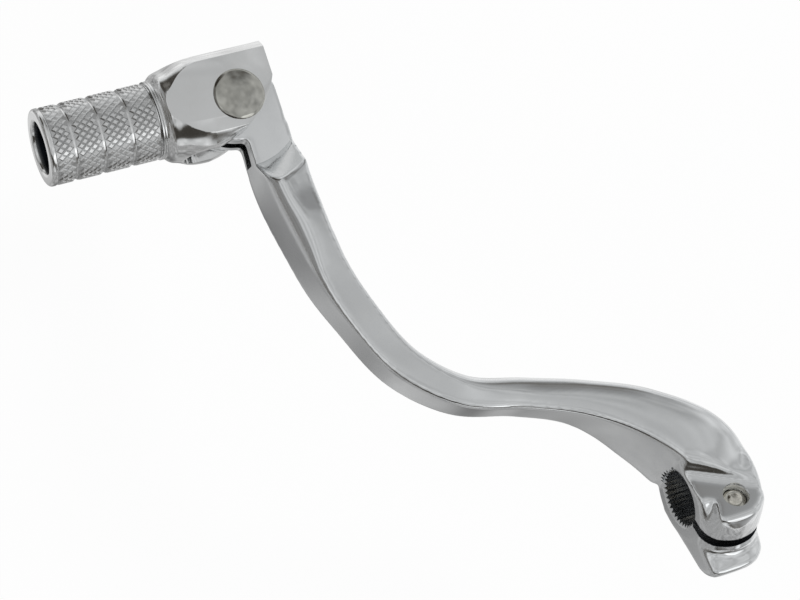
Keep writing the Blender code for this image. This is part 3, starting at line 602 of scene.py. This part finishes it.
def forged_arm():
    """The forging with its soft edges, then the machined faces, bore, slots and holes."""
    arm = skin("forged_arm", arm_rings())
    boss = rounded(drum("boss", BOSS_RADIUS, BOSS_INBOARD, 0.0, BORE_FRAME, 128), BOSS_EDGE)
    nose = skin("nose", nose_rings())
    tongue = prism("tongue", tongue_outline(), -TONGUE_BLANK, TONGUE_BLANK, PIN_FRAME)
    choose(arm, boss, nose, tongue)
    bpy.ops.object.join()
    finish_with(arm, 'REMESH', mode='VOXEL', voxel_size=FORGING_GRAIN * MM)
    cut(arm, pad_mill(arm))
    mill_tongue(arm, *ROUGH_RAMP)
    finish_with(arm, 'REMESH', mode='VOXEL', voxel_size=FORGING_GRAIN * MM)

    # The whole forging, then more at the clamp end, on the dished end and on the roll over the bolt
    to_clamp = CLAMP_FRAME.inverted()
    soften(arm, 5, lambda place: 1.0)
    soften(arm, 7, lambda place: (0.030 - place.x) / 0.012)
    soften(arm, 14, lambda place: min((place.x - 0.064) / 0.010, (0.106 - place.x) / 0.004))
    soften(arm, 10, lambda place: min((to_clamp @ place).z - 0.0070, 0.016 - place.x) / 0.0015)

    mill_tongue(arm, *CLEAN_RAMP)
    half = SPRING_SLOT_HALF
    cut(arm, block("spring_slot", (-14.2, -6.6, -half), (17.6, 17.6, half), PIN_FRAME))
    cut(arm, drum("pin_bore", PIN_BORE_RADIUS, -13.4, 13.4, PIN_FRAME, 64))
    teeth = []
    for k in range(2 * SPLINES):
        radius = SPLINE_CREST if k % 2 else SPLINE_ROOT
        teeth.append((radius * math.cos(k * math.pi / SPLINES), radius * math.sin(k * math.pi / SPLINES)))
    cut(arm, prism("splines", teeth, -30.0, 15.0, BORE_FRAME))
    cut(arm, drum("mouth", 6.0, -0.45, 0.35, BORE_FRAME, 96, 7.3))
    cut(arm, block("clamp_slot", (0.0, -15.0, -SLOT_HALF), (35.8, 30.0, SLOT_HALF), CLAMP_FRAME))
    hole = [(0.0, 11.5), (3.0, 11.5), (2.95, 7.6), (2.85, 7.4), (2.7, 7.15), (2.55, 6.6), (2.55, -8.3),
            (5.5, -8.3), (5.5, -19.8), (0.0, -19.8)]
    cut(arm, turned("bolt_hole", hole, 64, BOLT_FRAME))
    divide_bore(arm)
    shade(arm, 38.0)
    mark(arm, "shadow", arm_shadow)
    mark(arm, "satin", lambda vert: (vert.normal.y - 0.35) / 0.45)
    return arm


# Folding tip

def knurl_band(name, low, high):
    """A ring whose outside is a net of flat-topped diamonds between narrow valleys."""
    columns = KNURL_COLUMNS
    rows = 2 * round((high - low) / KNURL_ROW / 2.0)
    tall = (high - low) / rows

    def point(column, row, radius):
        angle = 2.0 * math.pi * column / columns
        return Vector((radius * math.cos(angle), radius * math.sin(angle), low + tall * row)) * MM

    item = start_circle(name, columns, 'NOTHING')
    edit = bmesh.new()
    valley = {}
    for row in range(rows + 1):
        for column in range(columns):
            if (row + column) % 2 or row in (0, rows):
                valley[column, row] = edit.verts.new(point(column, row, KNURL_VALLEY))
    flat = ((-KNURL_FLAT, 0.0), (0.0, -KNURL_FLAT), (KNURL_FLAT, 0.0), (0.0, KNURL_FLAT))
    for row in range(1, rows):
        for column in range(columns):
            if (row + column) % 2:
                continue
            ring = (valley[(column - 1) % columns, row], valley[column, row - 1],
                    valley[(column + 1) % columns, row], valley[column, row + 1])
            top = [edit.verts.new(point(column + a, row + b, KNURL_TOP)) for a, b in flat]
            edit.faces.new(top)
            for k in range(4):
                edit.faces.new((ring[k], ring[(k + 1) % 4], top[(k + 1) % 4], top[k]))
    for row, inner in ((0, 1), (rows, rows - 1)):
        for column in range(columns):
            if (inner + column) % 2:
                middle = valley[column, row]
                foot = valley[column, inner]
                edit.faces.new((middle, valley[(column + 1) % columns, row], foot))
                edit.faces.new((valley[(column - 1) % columns, row], middle, foot))
    for row in (0, rows):
        edit.faces.new([valley[column, row] for column in range(columns)])
    bmesh.ops.recalc_face_normals(edit, faces=edit.faces)
    edit.to_mesh(item.data)
    edit.free()
    item.data.transform(TURN_FRAME)
    return item


def tip_profile():
    """From the end hole round the end ring, the grip's core, two beads and the shoulder to the fork."""
    profile = [(0.0, 22.4), (0.9, 22.5), (5.5, 22.9), (5.55, 40.4), (5.6, 41.2), (5.65, 41.9), (5.7, 42.15),
               (5.8, 42.45), (6.3, 42.7)]
    profile += quarter(7.65, 41.92, 0.78, math.pi / 2.0, 8, -1.0)
    profile += [(8.43, 41.45), (8.3, 41.3), (7.7, 41.25), (7.7, 18.2), (8.02, 18.15), (8.1, 17.95)]
    for low, high in ((17.9, 17.5), (17.35, 16.95)):
        mid = (low + high) / 2.0
        profile += [(8.35, low), (8.58, mid + 0.12), (8.58, mid - 0.12), (8.35, high), (8.2, high - 0.05)]
    shoulder = [(8.45, 16.8), (8.75, 16.45), (9.25, 16.05), (9.75, 15.3), (10.25, 13.7), (11.2, 11.6),
                (12.0, 9.3), (12.3, 7.3)]
    profile += curve_through(shoulder, 5)
    profile += [(12.3, 4.0), (12.3, -8.5), (0.0, -8.5)]
    return profile


def on_grip(vert):
    """How far out along the grip a point lies, and how far from its axis."""
    place = vert.co / MM - Vector((TIP_AXIS_X, PIVOT_Y, PIVOT_Z))
    return place.y, math.hypot(place.x, place.z)


def hole_shadow(vert):
    """Shade down the end hole, full a little way in."""
    reach, radius = on_grip(vert)
    return (42.2 - reach) / 0.4 if radius < 5.75 and reach > 20.0 else 0.0


def knurled(vert):
    """1 on the outside of the grip."""
    reach, radius = on_grip(vert)
    return 1.0 if 18.3 < reach < 41.3 and radius > 7.85 else 0.0


def knurl_valley(vert):
    """1 at the bottom of the knurl's valleys, where the metal gets painted shade."""
    return knurled(vert) * (8.36 - on_grip(vert)[1]) / 0.24


def turned_tip():
    """Turned all over, then milled flat, forked, drilled and knurled."""
    tip = turned("turned_tip", tip_profile(), 192, TURN_FRAME)
    for name, low, high in (
            ("upper_flat", (-FAR, -FAR, BLOCK_HALF), (FAR, BLOCK_END, FAR)),
            ("lower_flat", (-FAR, -FAR, -FAR), (FAR, BLOCK_END, -BLOCK_HALF)),
            ("front_flat", (BLOCK_FRONT, -FAR, -FAR), (FAR, BLOCK_END, FAR)),
            ("rear_flat", (-FAR, -FAR, -FAR), (BLOCK_REAR, BLOCK_END, FAR))):
        cut(tip, block(name, low, high, TIP_FRAME))
    corner = bow(Vector((BLOCK_REAR, 6.3)), Vector((-8.0, -4.4)), Vector((1.5, -8.55)), 32)
    corner += [(1.5, -FAR), (-FAR, -FAR), (-FAR, 6.3)]
    cut(tip, prism("corner_mill", corner, -FAR, FAR, TIP_FRAME))
    cut(tip, block("fork_slot", (-FAR, -FAR, -FORK_HALF), (FAR, FORK_DEPTH, FORK_HALF), TIP_FRAME))
    fork_end = TIP_FRAME @ Matrix.Translation((0.0, FORK_DEPTH * MM, 0.0))
    fork_end = fork_end @ Matrix.Rotation(math.pi / 2.0, 4, 'Y')
    cut(tip, drum("fork_end", FORK_HALF, -FAR, FAR, fork_end, 64))
    rounded(tip, 0.14, 2, 38.0)
    cut(tip, drum("cheek_bore", PIN_BORE_RADIUS, -FAR, FAR, PIN_FRAME, 64))
    leg = PIN_FRAME @ Matrix.Translation((5.6 * MM, 0.0, 0.78 * MM)) @ BORE_FRAME
    cut(tip, drum("spring_leg_bore", 0.85, 0.0, 17.0, leg, 24))
    for k, (low, high) in enumerate(KNURL_BANDS):
        band = knurl_band("knurl_band_%d" % (k + 1), low, high)
        cut(band, drum("knurl_core", 7.0, low - 1.0, high + 1.0, TURN_FRAME))
        combine(tip, band, 'UNION')
    shade(tip, 24.0)
    mark(tip, "shadow", hole_shadow)
    mark(tip, "valley", knurl_valley)
    mark(tip, "satin", knurled)
    return tip


# Pin and bolt

def pin_with_head():
    """The pressed pin: a low dome on the upper cheek and a small head under the lower one."""
    top = 9.45
    head = 5.45
    profile = []
    for k in range(12):
        radius = head * k / 11.0
        profile.append((radius, top + 1.45 - 1.25 * (radius / head) ** 2.2))
    profile += [(5.6, top + 0.02), (5.62, top), (4.0, top), (4.0, -top), (5.2, -top), (5.2, -top - 0.22),
                (4.9, -top - 0.4), (4.16, -top - 0.64), (2.34, -top - 0.76), (0.0, -top - 0.79)]
    pin = turned("pin_with_head", profile, 96, PIN_FRAME)
    shade(pin, 40.0)
    return pin


def threaded_bolt():
    """The pinch bolt: its rounded end, the thread, a washer face and a hexagon head."""
    seat = -8.6
    pitch = 0.8
    root = 2.05
    crest = 2.4
    height = 6.3
    profile = [(0.0, 7.15), (0.6, 7.1), (1.1, 6.98), (1.6, 6.72), (1.95, 6.42), (root, height)]
    while height > seat + 1.2:
        profile += [(crest, height - 0.34), (crest, height - 0.44), (root, height - pitch)]
        height -= pitch
    profile += [(2.3, seat + 0.4), (2.3, seat), (4.9, seat), (4.9, seat - 0.8), (4.7, seat - 1.0),
                (0.0, seat - 1.0)]
    bolt = turned("threaded_bolt", profile, 64, BOLT_FRAME)
    head = drum("head", 8.0 / math.sqrt(3.0), seat - 4.6, seat - 0.5, BOLT_FRAME, 6)
    combine(bolt, rounded(head, 0.25, 3), 'UNION')
    shade(bolt, 35.0)
    return bolt


# Shader nodes

def node(tree, kind, place, inputs=None, **values):
    """Adds a node, and gives each named input a value or the socket that feeds it."""
    made = tree.nodes.new(kind)
    made.location = place
    for key, value in values.items():
        setattr(made, key, value)
    for key, value in (inputs or {}).items():
        if isinstance(value, bpy.types.NodeSocket):
            tree.links.new(value, made.inputs[key])
        else:
            made.inputs[key].default_value = value
    return made


def reckon(tree, operation, place, *terms):
    """A Math node on numbers or sockets."""
    return node(tree, 'ShaderNodeMath', place, dict(enumerate(terms)), operation=operation).outputs[0]


def ramp(tree, place, value, span=(0.0, 1.0), result=(0.0, 1.0), kind='LINEAR'):
    """Maps a span of values to another; the ends may be numbers or sockets."""
    inputs = {"Value": value, "From Min": span[0], "From Max": span[1],
              "To Min": result[0], "To Max": result[1]}
    return node(tree, 'ShaderNodeMapRange', place, inputs, interpolation_type=kind).outputs[0]


def mixed_colour(tree, place, share, first, second):
    """Mixes two colours, each of three numbers or a socket."""
    first, second = (
        colour if isinstance(colour, bpy.types.NodeSocket) else (*colour, 1.0) for colour in (first, second))
    return node(tree, 'ShaderNodeMix', place, {0: share, 6: first, 7: second}, data_type='RGBA').outputs[2]


def polishing_group():
    """Soft waves, fine marks along a direction, and small stains left by polishing."""
    group = bpy.data.node_groups.get("Polishing marks")
    if group:
        return group
    group = bpy.data.node_groups.new("Polishing marks", 'ShaderNodeTree')
    face = group.interface
    face.new_socket("Vector", in_out='INPUT', socket_type='NodeSocketVector')
    for name, value in (("Wave Scale", 90.0), ("Mark Scale", 900.0), ("Mark Stretch", 18.0),
                        ("Wave", 0.6), ("Marks", 0.12), ("Rough Low", 0.08), ("Rough High", 0.2)):
        socket = face.new_socket(name, in_out='INPUT', socket_type='NodeSocketFloat')
        socket.default_value = value
    for name in ("Roughness", "Height", "Stain"):
        face.new_socket(name, in_out='OUTPUT', socket_type='NodeSocketFloat')

    start = node(group, 'NodeGroupInput', (-900, 0)).outputs
    wave = node(group, 'ShaderNodeTexNoise', (-500, 300), {
        "Vector": start["Vector"], "Scale": start["Wave Scale"], "Detail": 1.0})
    squeeze = node(group, 'ShaderNodeCombineXYZ', (-700, -60), {
        0: 1.0, 1: start["Mark Stretch"], 2: start["Mark Stretch"]})
    stretch = node(group, 'ShaderNodeVectorMath', (-500, -60), {
        0: start["Vector"], 1: squeeze.outputs[0]}, operation='MULTIPLY')
    marks = node(group, 'ShaderNodeTexNoise', (-300, -60), {
        "Vector": stretch.outputs[0], "Scale": start["Mark Scale"], "Detail": 3.0})
    stain = node(group, 'ShaderNodeTexNoise', (-300, -360), {
        "Vector": start["Vector"], "Scale": 160.0, "Detail": 5.0, "Roughness": 0.62})
    spread = ramp(group, (-80, -360), stain.outputs["Fac"], (0.42, 0.68))
    waves = reckon(group, 'MULTIPLY', (-80, 300), wave.outputs["Fac"], start["Wave"])
    lines = reckon(group, 'MULTIPLY', (-80, 60), marks.outputs["Fac"], start["Marks"])
    total = reckon(group, 'ADD', (140, 200), waves, lines)
    worn = reckon(group, 'MULTIPLY_ADD', (0, -180), marks.outputs["Fac"], 0.5, spread)
    gloss = ramp(group, (140, -200), worn, result=(start["Rough Low"], start["Rough High"]))
    node(group, 'NodeGroupOutput', (700, 0), {"Roughness": gloss, "Height": total, "Stain": spread})
    return group


def metal(name, colour, stain_colour, wave_scale, gloss, depth, stain_amount=0.3):
    """A metal with the shared polishing marks, painted shade in its valleys, satin parts and painted shade in
    holes and slots.
    """
    made = bpy.data.materials.new(name)
    made.use_nodes = True
    tree = made.node_tree
    place = node(tree, 'ShaderNodeTexCoord', (-1200, 0))
    effect = node(tree, 'ShaderNodeGroup', (-960, 0), node_tree=polishing_group())
    for key, value in (("Wave Scale", wave_scale), ("Rough Low", gloss[0]), ("Rough High", gloss[1])):
        effect.inputs[key].default_value = value
    tree.links.new(place.outputs["Object"], effect.inputs["Vector"])
    # Masks read from the points: painted shade in the knurl's valleys, painted shade in holes and slots, and
    # satin
    valley_shade, painted_shade, satin = (
        node(tree, 'ShaderNodeAttribute', (-700, height), attribute_name=layer).outputs["Fac"]
        for layer, height in (("valley", 460), ("shadow", 660), ("satin", -260)))
    amount = reckon(tree, 'MULTIPLY', (-700, 220), effect.outputs["Stain"], stain_amount)
    tint = mixed_colour(tree, (-500, 220), amount, colour, stain_colour)
    # Painted shade: the knurl's valleys darkened to a share of the metal's colour
    valley_shaded = mixed_colour(tree, (-320, 300), valley_shade, tint, [VALLEY_SHADE_SHARE * part for part in colour])
    # Painted shade in the bore, the clamp's slot and the end hole, towards a dark colour
    shaded = mixed_colour(tree, (-140, 360), painted_shade, valley_shaded, SHADOW_COLOUR)
    dull = reckon(tree, 'MULTIPLY_ADD', (-500, -120), satin, SATIN_ROUGHNESS, effect.outputs["Roughness"])
    rough = reckon(tree, 'MULTIPLY_ADD', (-320, -60), painted_shade, SHADOW_ROUGHNESS, dull)
    bump = node(tree, 'ShaderNodeBump', (-320, -300), {"Height": effect.outputs["Height"], "Distance": depth})
    shader = tree.nodes["Principled BSDF"]
    shader.inputs["Metallic"].default_value = 1.0
    tree.links.new(shaded, shader.inputs["Base Color"])
    tree.links.new(rough, shader.inputs["Roughness"])
    tree.links.new(bump.outputs["Normal"], shader.inputs["Normal"])
    return made


def dress(item, look):
    """Gives an object one material."""
    item.data.materials.clear()
    item.data.materials.append(look)


class LEVER_OT_arm(bpy.types.Operator):
    """Gives the forged arm its polished finish"""
    bl_idname = "lever.arm"
    bl_label = "Arm"

    def execute(self, context):
        colours = context.scene.lever_colours
        wave = context.scene.lever_sizes.polish_wave
        arm = forged_arm()
        dress(arm, metal("polished_forging", colours.polished, (0.70, 0.71, 0.72), 70.0, (0.06, 0.11), wave))
        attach(arm, "lever")
        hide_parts("lever_arm")
        return {'FINISHED'}


class LEVER_OT_tip(bpy.types.Operator):
    """Gives the folding tip its turned finish"""
    bl_idname = "lever.tip"
    bl_label = "Folding tip"

    def execute(self, context):
        colours = context.scene.lever_colours
        wave = context.scene.lever_sizes.polish_wave
        tip = turned_tip()
        dress(tip, metal("turned_tip", colours.turned, (0.70, 0.70, 0.69), 80.0, (0.09, 0.16), wave))
        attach(tip, "tip")
        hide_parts("folding_tip")
        return {'FINISHED'}


class LEVER_OT_fasteners(bpy.types.Operator):
    """Finishes the pivot pin, the return spring and the pinch bolt"""
    bl_idname = "lever.fasteners"
    bl_label = "Pin, spring and bolt"

    def execute(self, context):
        colours = context.scene.lever_colours
        wave = context.scene.lever_sizes.polish_wave
        pin = pin_with_head()
        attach(pin, "tip")
        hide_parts("pivot_pin")
        dress(pin, metal("pin_head_steel", colours.pin, (0.17, 0.155, 0.11), 120.0, (0.07, 0.13), wave, 0.15))
        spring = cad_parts["return_spring"]
        dress(spring, metal("spring_wire", colours.spring, (0.05, 0.045, 0.04), 400.0, (0.3, 0.5), wave, 0.6))
        bolt = threaded_bolt()
        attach(bolt, "lever")
        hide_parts("pinch_bolt")
        dress(bolt, metal("plated_bolt", colours.bolt, (0.42, 0.38, 0.30), 300.0, (0.07, 0.16), wave))
        return {'FINISHED'}


# Studio

def glossy_only(item):
    """Hides an object from everything but reflections."""
    item.visible_camera = False
    item.visible_diffuse = False
    item.visible_shadow = False
    item.visible_transmission = False
    item.visible_volume_scatter = False


def glowing(name):
    """A new material without its shader, for a sheet of light."""
    look = bpy.data.materials.new(name)
    look.use_nodes = True
    look.node_tree.nodes.remove(look.node_tree.nodes["Principled BSDF"])
    return look


def shine(tree, inputs):
    """Ends a glowing material."""
    glow = node(tree, 'ShaderNodeEmission', (480, 0), inputs)
    tree.links.new(glow.outputs[0], tree.nodes["Material Output"].inputs["Surface"])


def seen_directly(tree, x, y):
    """1 for camera, glossy and transmission rays, and 0 for the others."""
    path = node(tree, 'ShaderNodeLightPath', (x, y)).outputs
    seen = reckon(tree, 'MAXIMUM', (x + 180, y), path["Is Camera Ray"], path["Is Glossy Ray"])
    return reckon(tree, 'MAXIMUM', (x + 360, y), seen, path["Is Transmission Ray"])


def light_tent(centre, patches):
    """A globe seen only in the metal. Its grey comes from direction: walls, a soft ceiling and patches."""
    bpy.ops.object.select_all(action='DESELECT')
    bpy.ops.mesh.primitive_uv_sphere_add(segments=48, ring_count=24, radius=TENT_RADIUS, location=centre)
    item = bpy.context.object
    item.name = "light_tent"
    look = glowing("light_tent")
    tree = look.node_tree
    place = node(tree, 'ShaderNodeTexCoord', (-1400, 0))
    aim = node(tree, 'ShaderNodeVectorMath', (-1200, 0), {0: place.outputs["Object"]}, operation='NORMALIZE')
    aim = aim.outputs[0]

    def facing(direction, start, stop, low, high, row):
        """A value that changes between two cosines of the angle to a direction."""
        dot = node(tree, 'ShaderNodeVectorMath', (-1000, row), {
            0: aim, 1: Vector(direction).normalized()}, operation='DOT_PRODUCT')
        return ramp(tree, (-800, row), dot.outputs["Value"], (start, stop), (low, high), 'SMOOTHSTEP')

    wall = facing((0.64, -0.77, -0.15), -0.45, 0.50, 0.20, 0.70, 0)
    ceiling = facing((0.0, 0.0, 1.0), 0.50, 0.68, 0.0, 1.0, -250)
    level = node(tree, 'ShaderNodeMix', (-560, 0), {0: ceiling, 2: wall, 3: 0.60}, data_type='FLOAT')
    level = level.outputs[0]
    for k, (direction, start, stop, strength) in enumerate(patches):
        patch = facing(direction, start, stop, 0.0, strength, -500 - 250 * k)
        level = reckon(tree, 'ADD', (-380 + 60 * k, -300 - 120 * k), level, patch)
    cloud = node(tree, 'ShaderNodeTexNoise', (-100, 300), {"Vector": aim, "Scale": 4.2, "Detail": 1.0})
    drift = reckon(tree, 'MULTIPLY_ADD', (80, 300), cloud.outputs["Fac"], 0.7, -0.35)
    level = reckon(tree, 'ADD', (240, 200), drift, level)
    pale = ramp(tree, (300, 400), level, (0.06, 0.30))
    warm = mixed_colour(tree, (480, 200), pale, (1.0, 0.92, 0.80), (0.985, 0.995, 1.0))
    shine(tree, {"Strength": reckon(tree, 'MAXIMUM', (300, 0), level, 0.05), "Color": warm})
    dress(item, look)
    glossy_only(item)


def under_card(height):
    """A sheet over the floor, seen only in the metal: pale inboard and grey outboard."""
    bpy.ops.object.select_all(action='DESELECT')
    bpy.ops.mesh.primitive_circle_add(
        vertices=64, radius=CARD_RADIUS, fill_type='NGON', location=(*STUDIO_CENTRE[:2], height))
    item = bpy.context.object
    item.name = "under_card"
    look = glowing("under_card")
    tree = look.node_tree
    place = node(tree, 'ShaderNodeTexCoord', (-900, 0)).outputs["Object"]
    dot = node(tree, 'ShaderNodeVectorMath', (-700, 0), {
        0: place, 1: (0.45, -0.89, 0.0)}, operation='DOT_PRODUCT')
    side = ramp(tree, (-500, 0), dot.outputs["Value"], (-0.01, 0.10), (0.36, 0.84), 'SMOOTHSTEP')
    reach = node(tree, 'ShaderNodeVectorMath', (-700, -480), {
        0: place, 1: (0.085, 0.09, 0.0)}, operation='DISTANCE')
    spot = ramp(tree, (-500, -480), reach.outputs["Value"], (0.035, 0.012), (0.0, 0.45), 'SMOOTHSTEP')
    cloud = node(tree, 'ShaderNodeTexNoise', (-700, -260), {"Vector": place, "Scale": 30.0, "Detail": 1.0})
    lit = reckon(tree, 'ADD', (-300, 60), side, spot)
    patchy = reckon(tree, 'MULTIPLY_ADD', (-300, -120), cloud.outputs["Fac"], 1.1, lit)
    shine(tree, {"Strength": reckon(tree, 'SUBTRACT', (-120, -60), patchy, 0.52)})
    dress(item, look)
    glossy_only(item)


def lamp(name, place, size, power):
    """A soft round lamp that points at the lever and shows in no reflection."""
    data = bpy.data.lights.new(name, 'AREA')
    data.shape = 'DISK'
    data.size = size
    data.energy = power
    item = bpy.data.objects.new(name, data)
    item.location = place
    item.rotation_mode = 'QUATERNION'
    item.rotation_quaternion = (Vector(LAMP_AIM) - Vector(place)).to_track_quat('-Z', 'Y')
    item.visible_glossy = False
    bpy.context.scene.collection.objects.link(item)


def white_world():
    """White where it is seen, and almost no light of its own."""
    world = bpy.data.worlds.new("studio")
    bpy.context.scene.world = world
    world.use_nodes = True
    tree = world.node_tree
    back = tree.nodes["Background"]
    back.inputs["Color"].default_value = (1.0, 1.0, 1.0, 1.0)
    strength = ramp(tree, (-160, 0), seen_directly(tree, -700, 0), result=(0.03, 1.0))
    tree.links.new(strength, back.inputs["Strength"])


def pale_floor(height):
    """A floor that shows white and keeps a trace of the lever's shadow."""
    bpy.ops.object.select_all(action='DESELECT')
    bpy.ops.mesh.primitive_plane_add(size=6.0, location=(0.0, 0.0, height))
    item = bpy.context.object
    item.name = "floor"
    look = bpy.data.materials.new("pale_floor")
    look.use_nodes = True
    tree = look.node_tree
    shader = tree.nodes["Principled BSDF"]
    shader.inputs["Base Color"].default_value = (0.92, 0.92, 0.92, 1.0)
    shader.inputs["Roughness"].default_value = 0.9
    share = reckon(tree, 'MULTIPLY', (40, 300), seen_directly(tree, -500, 300), 0.965)
    glow = node(tree, 'ShaderNodeEmission', (20, 120))
    mix = node(tree, 'ShaderNodeMixShader', (220, 160), {0: share, 1: shader.outputs[0], 2: glow.outputs[0]})
    tree.links.new(mix.outputs[0], tree.nodes["Material Output"].inputs["Surface"])
    dress(item, look)


def photo_camera(lens):
    """The camera that sees the lever as the photograph shows it."""
    data = bpy.data.cameras.new("camera")
    data.lens = lens
    data.sensor_width = 36.0
    data.clip_start = 0.01
    data.clip_end = 20.0
    item = bpy.data.objects.new("camera", data)
    bpy.context.scene.collection.objects.link(item)
    right = Vector(PICTURE_RIGHT).normalized()
    down = Vector(PICTURE_DOWN).normalized()
    ahead = right.cross(down).normalized()
    down = ahead.cross(right).normalized()
    rows = [(*axes, place) for *axes, place in zip(right, -down, -ahead, CAMERA_PLACE)]
    item.matrix_world = Matrix((*rows, (0.0, 0.0, 0.0, 1.0)))
    bpy.context.scene.camera = item


class LEVER_OT_studio(bpy.types.Operator):
    """Builds the floor, the reflection cards, the lamps and the camera"""
    bl_idname = "lever.studio"
    bl_label = "Studio"

    def execute(self, context):
        sizes = context.scene.lever_sizes
        floor = CAD_BOX[0].z - sizes.floor_drop
        white_world()
        pale_floor(floor)
        light_tent(STUDIO_CENTRE, PATCHES)
        under_card(floor + CARD_LIFT)
        lamp("key_lamp", (0.25, -0.5, 0.8), 0.35, 6.0)
        lamp("fill_lamp", (-0.5, 0.5, 0.7), 0.5, 3.0)
        photo_camera(sizes.camera_lens)
        context.scene.view_settings.view_transform = 'Standard'
        return {'FINISHED'}


class LEVER_PT_panel(bpy.types.Panel):
    """Lists the sizes, the colours and the steps"""
    bl_label = "Shift Lever"
    bl_idname = "LEVER_PT_panel"
    bl_space_type = 'VIEW_3D'
    bl_region_type = 'UI'
    bl_category = "Shift Lever"

    def draw(self, context):
        layout = self.layout
        for group in (context.scene.lever_sizes, context.scene.lever_colours):
            for key in group.bl_rna.properties.keys():
                if key not in {"rna_type", "name"}:
                    layout.prop(group, key)
        for step in STEPS:
            layout.operator(step.bl_idname)


STEPS = (LEVER_OT_arm, LEVER_OT_tip, LEVER_OT_fasteners, LEVER_OT_studio)
CLASSES = (LeverSizes, LeverColours, *STEPS, LEVER_PT_panel)


def register():
    for item in CLASSES:
        bpy.utils.register_class(item)
    bpy.types.Scene.lever_sizes = bpy.props.PointerProperty(type=LeverSizes)
    bpy.types.Scene.lever_colours = bpy.props.PointerProperty(type=LeverColours)


def unregister():
    del bpy.types.Scene.lever_colours
    del bpy.types.Scene.lever_sizes
    for item in reversed(CLASSES):
        bpy.utils.unregister_class(item)


def main():
    register()
    bpy.ops.lever.arm()
    bpy.ops.lever.tip()
    bpy.ops.lever.fasteners()
    bpy.ops.lever.studio()


if __name__ == "__main__":
    main()
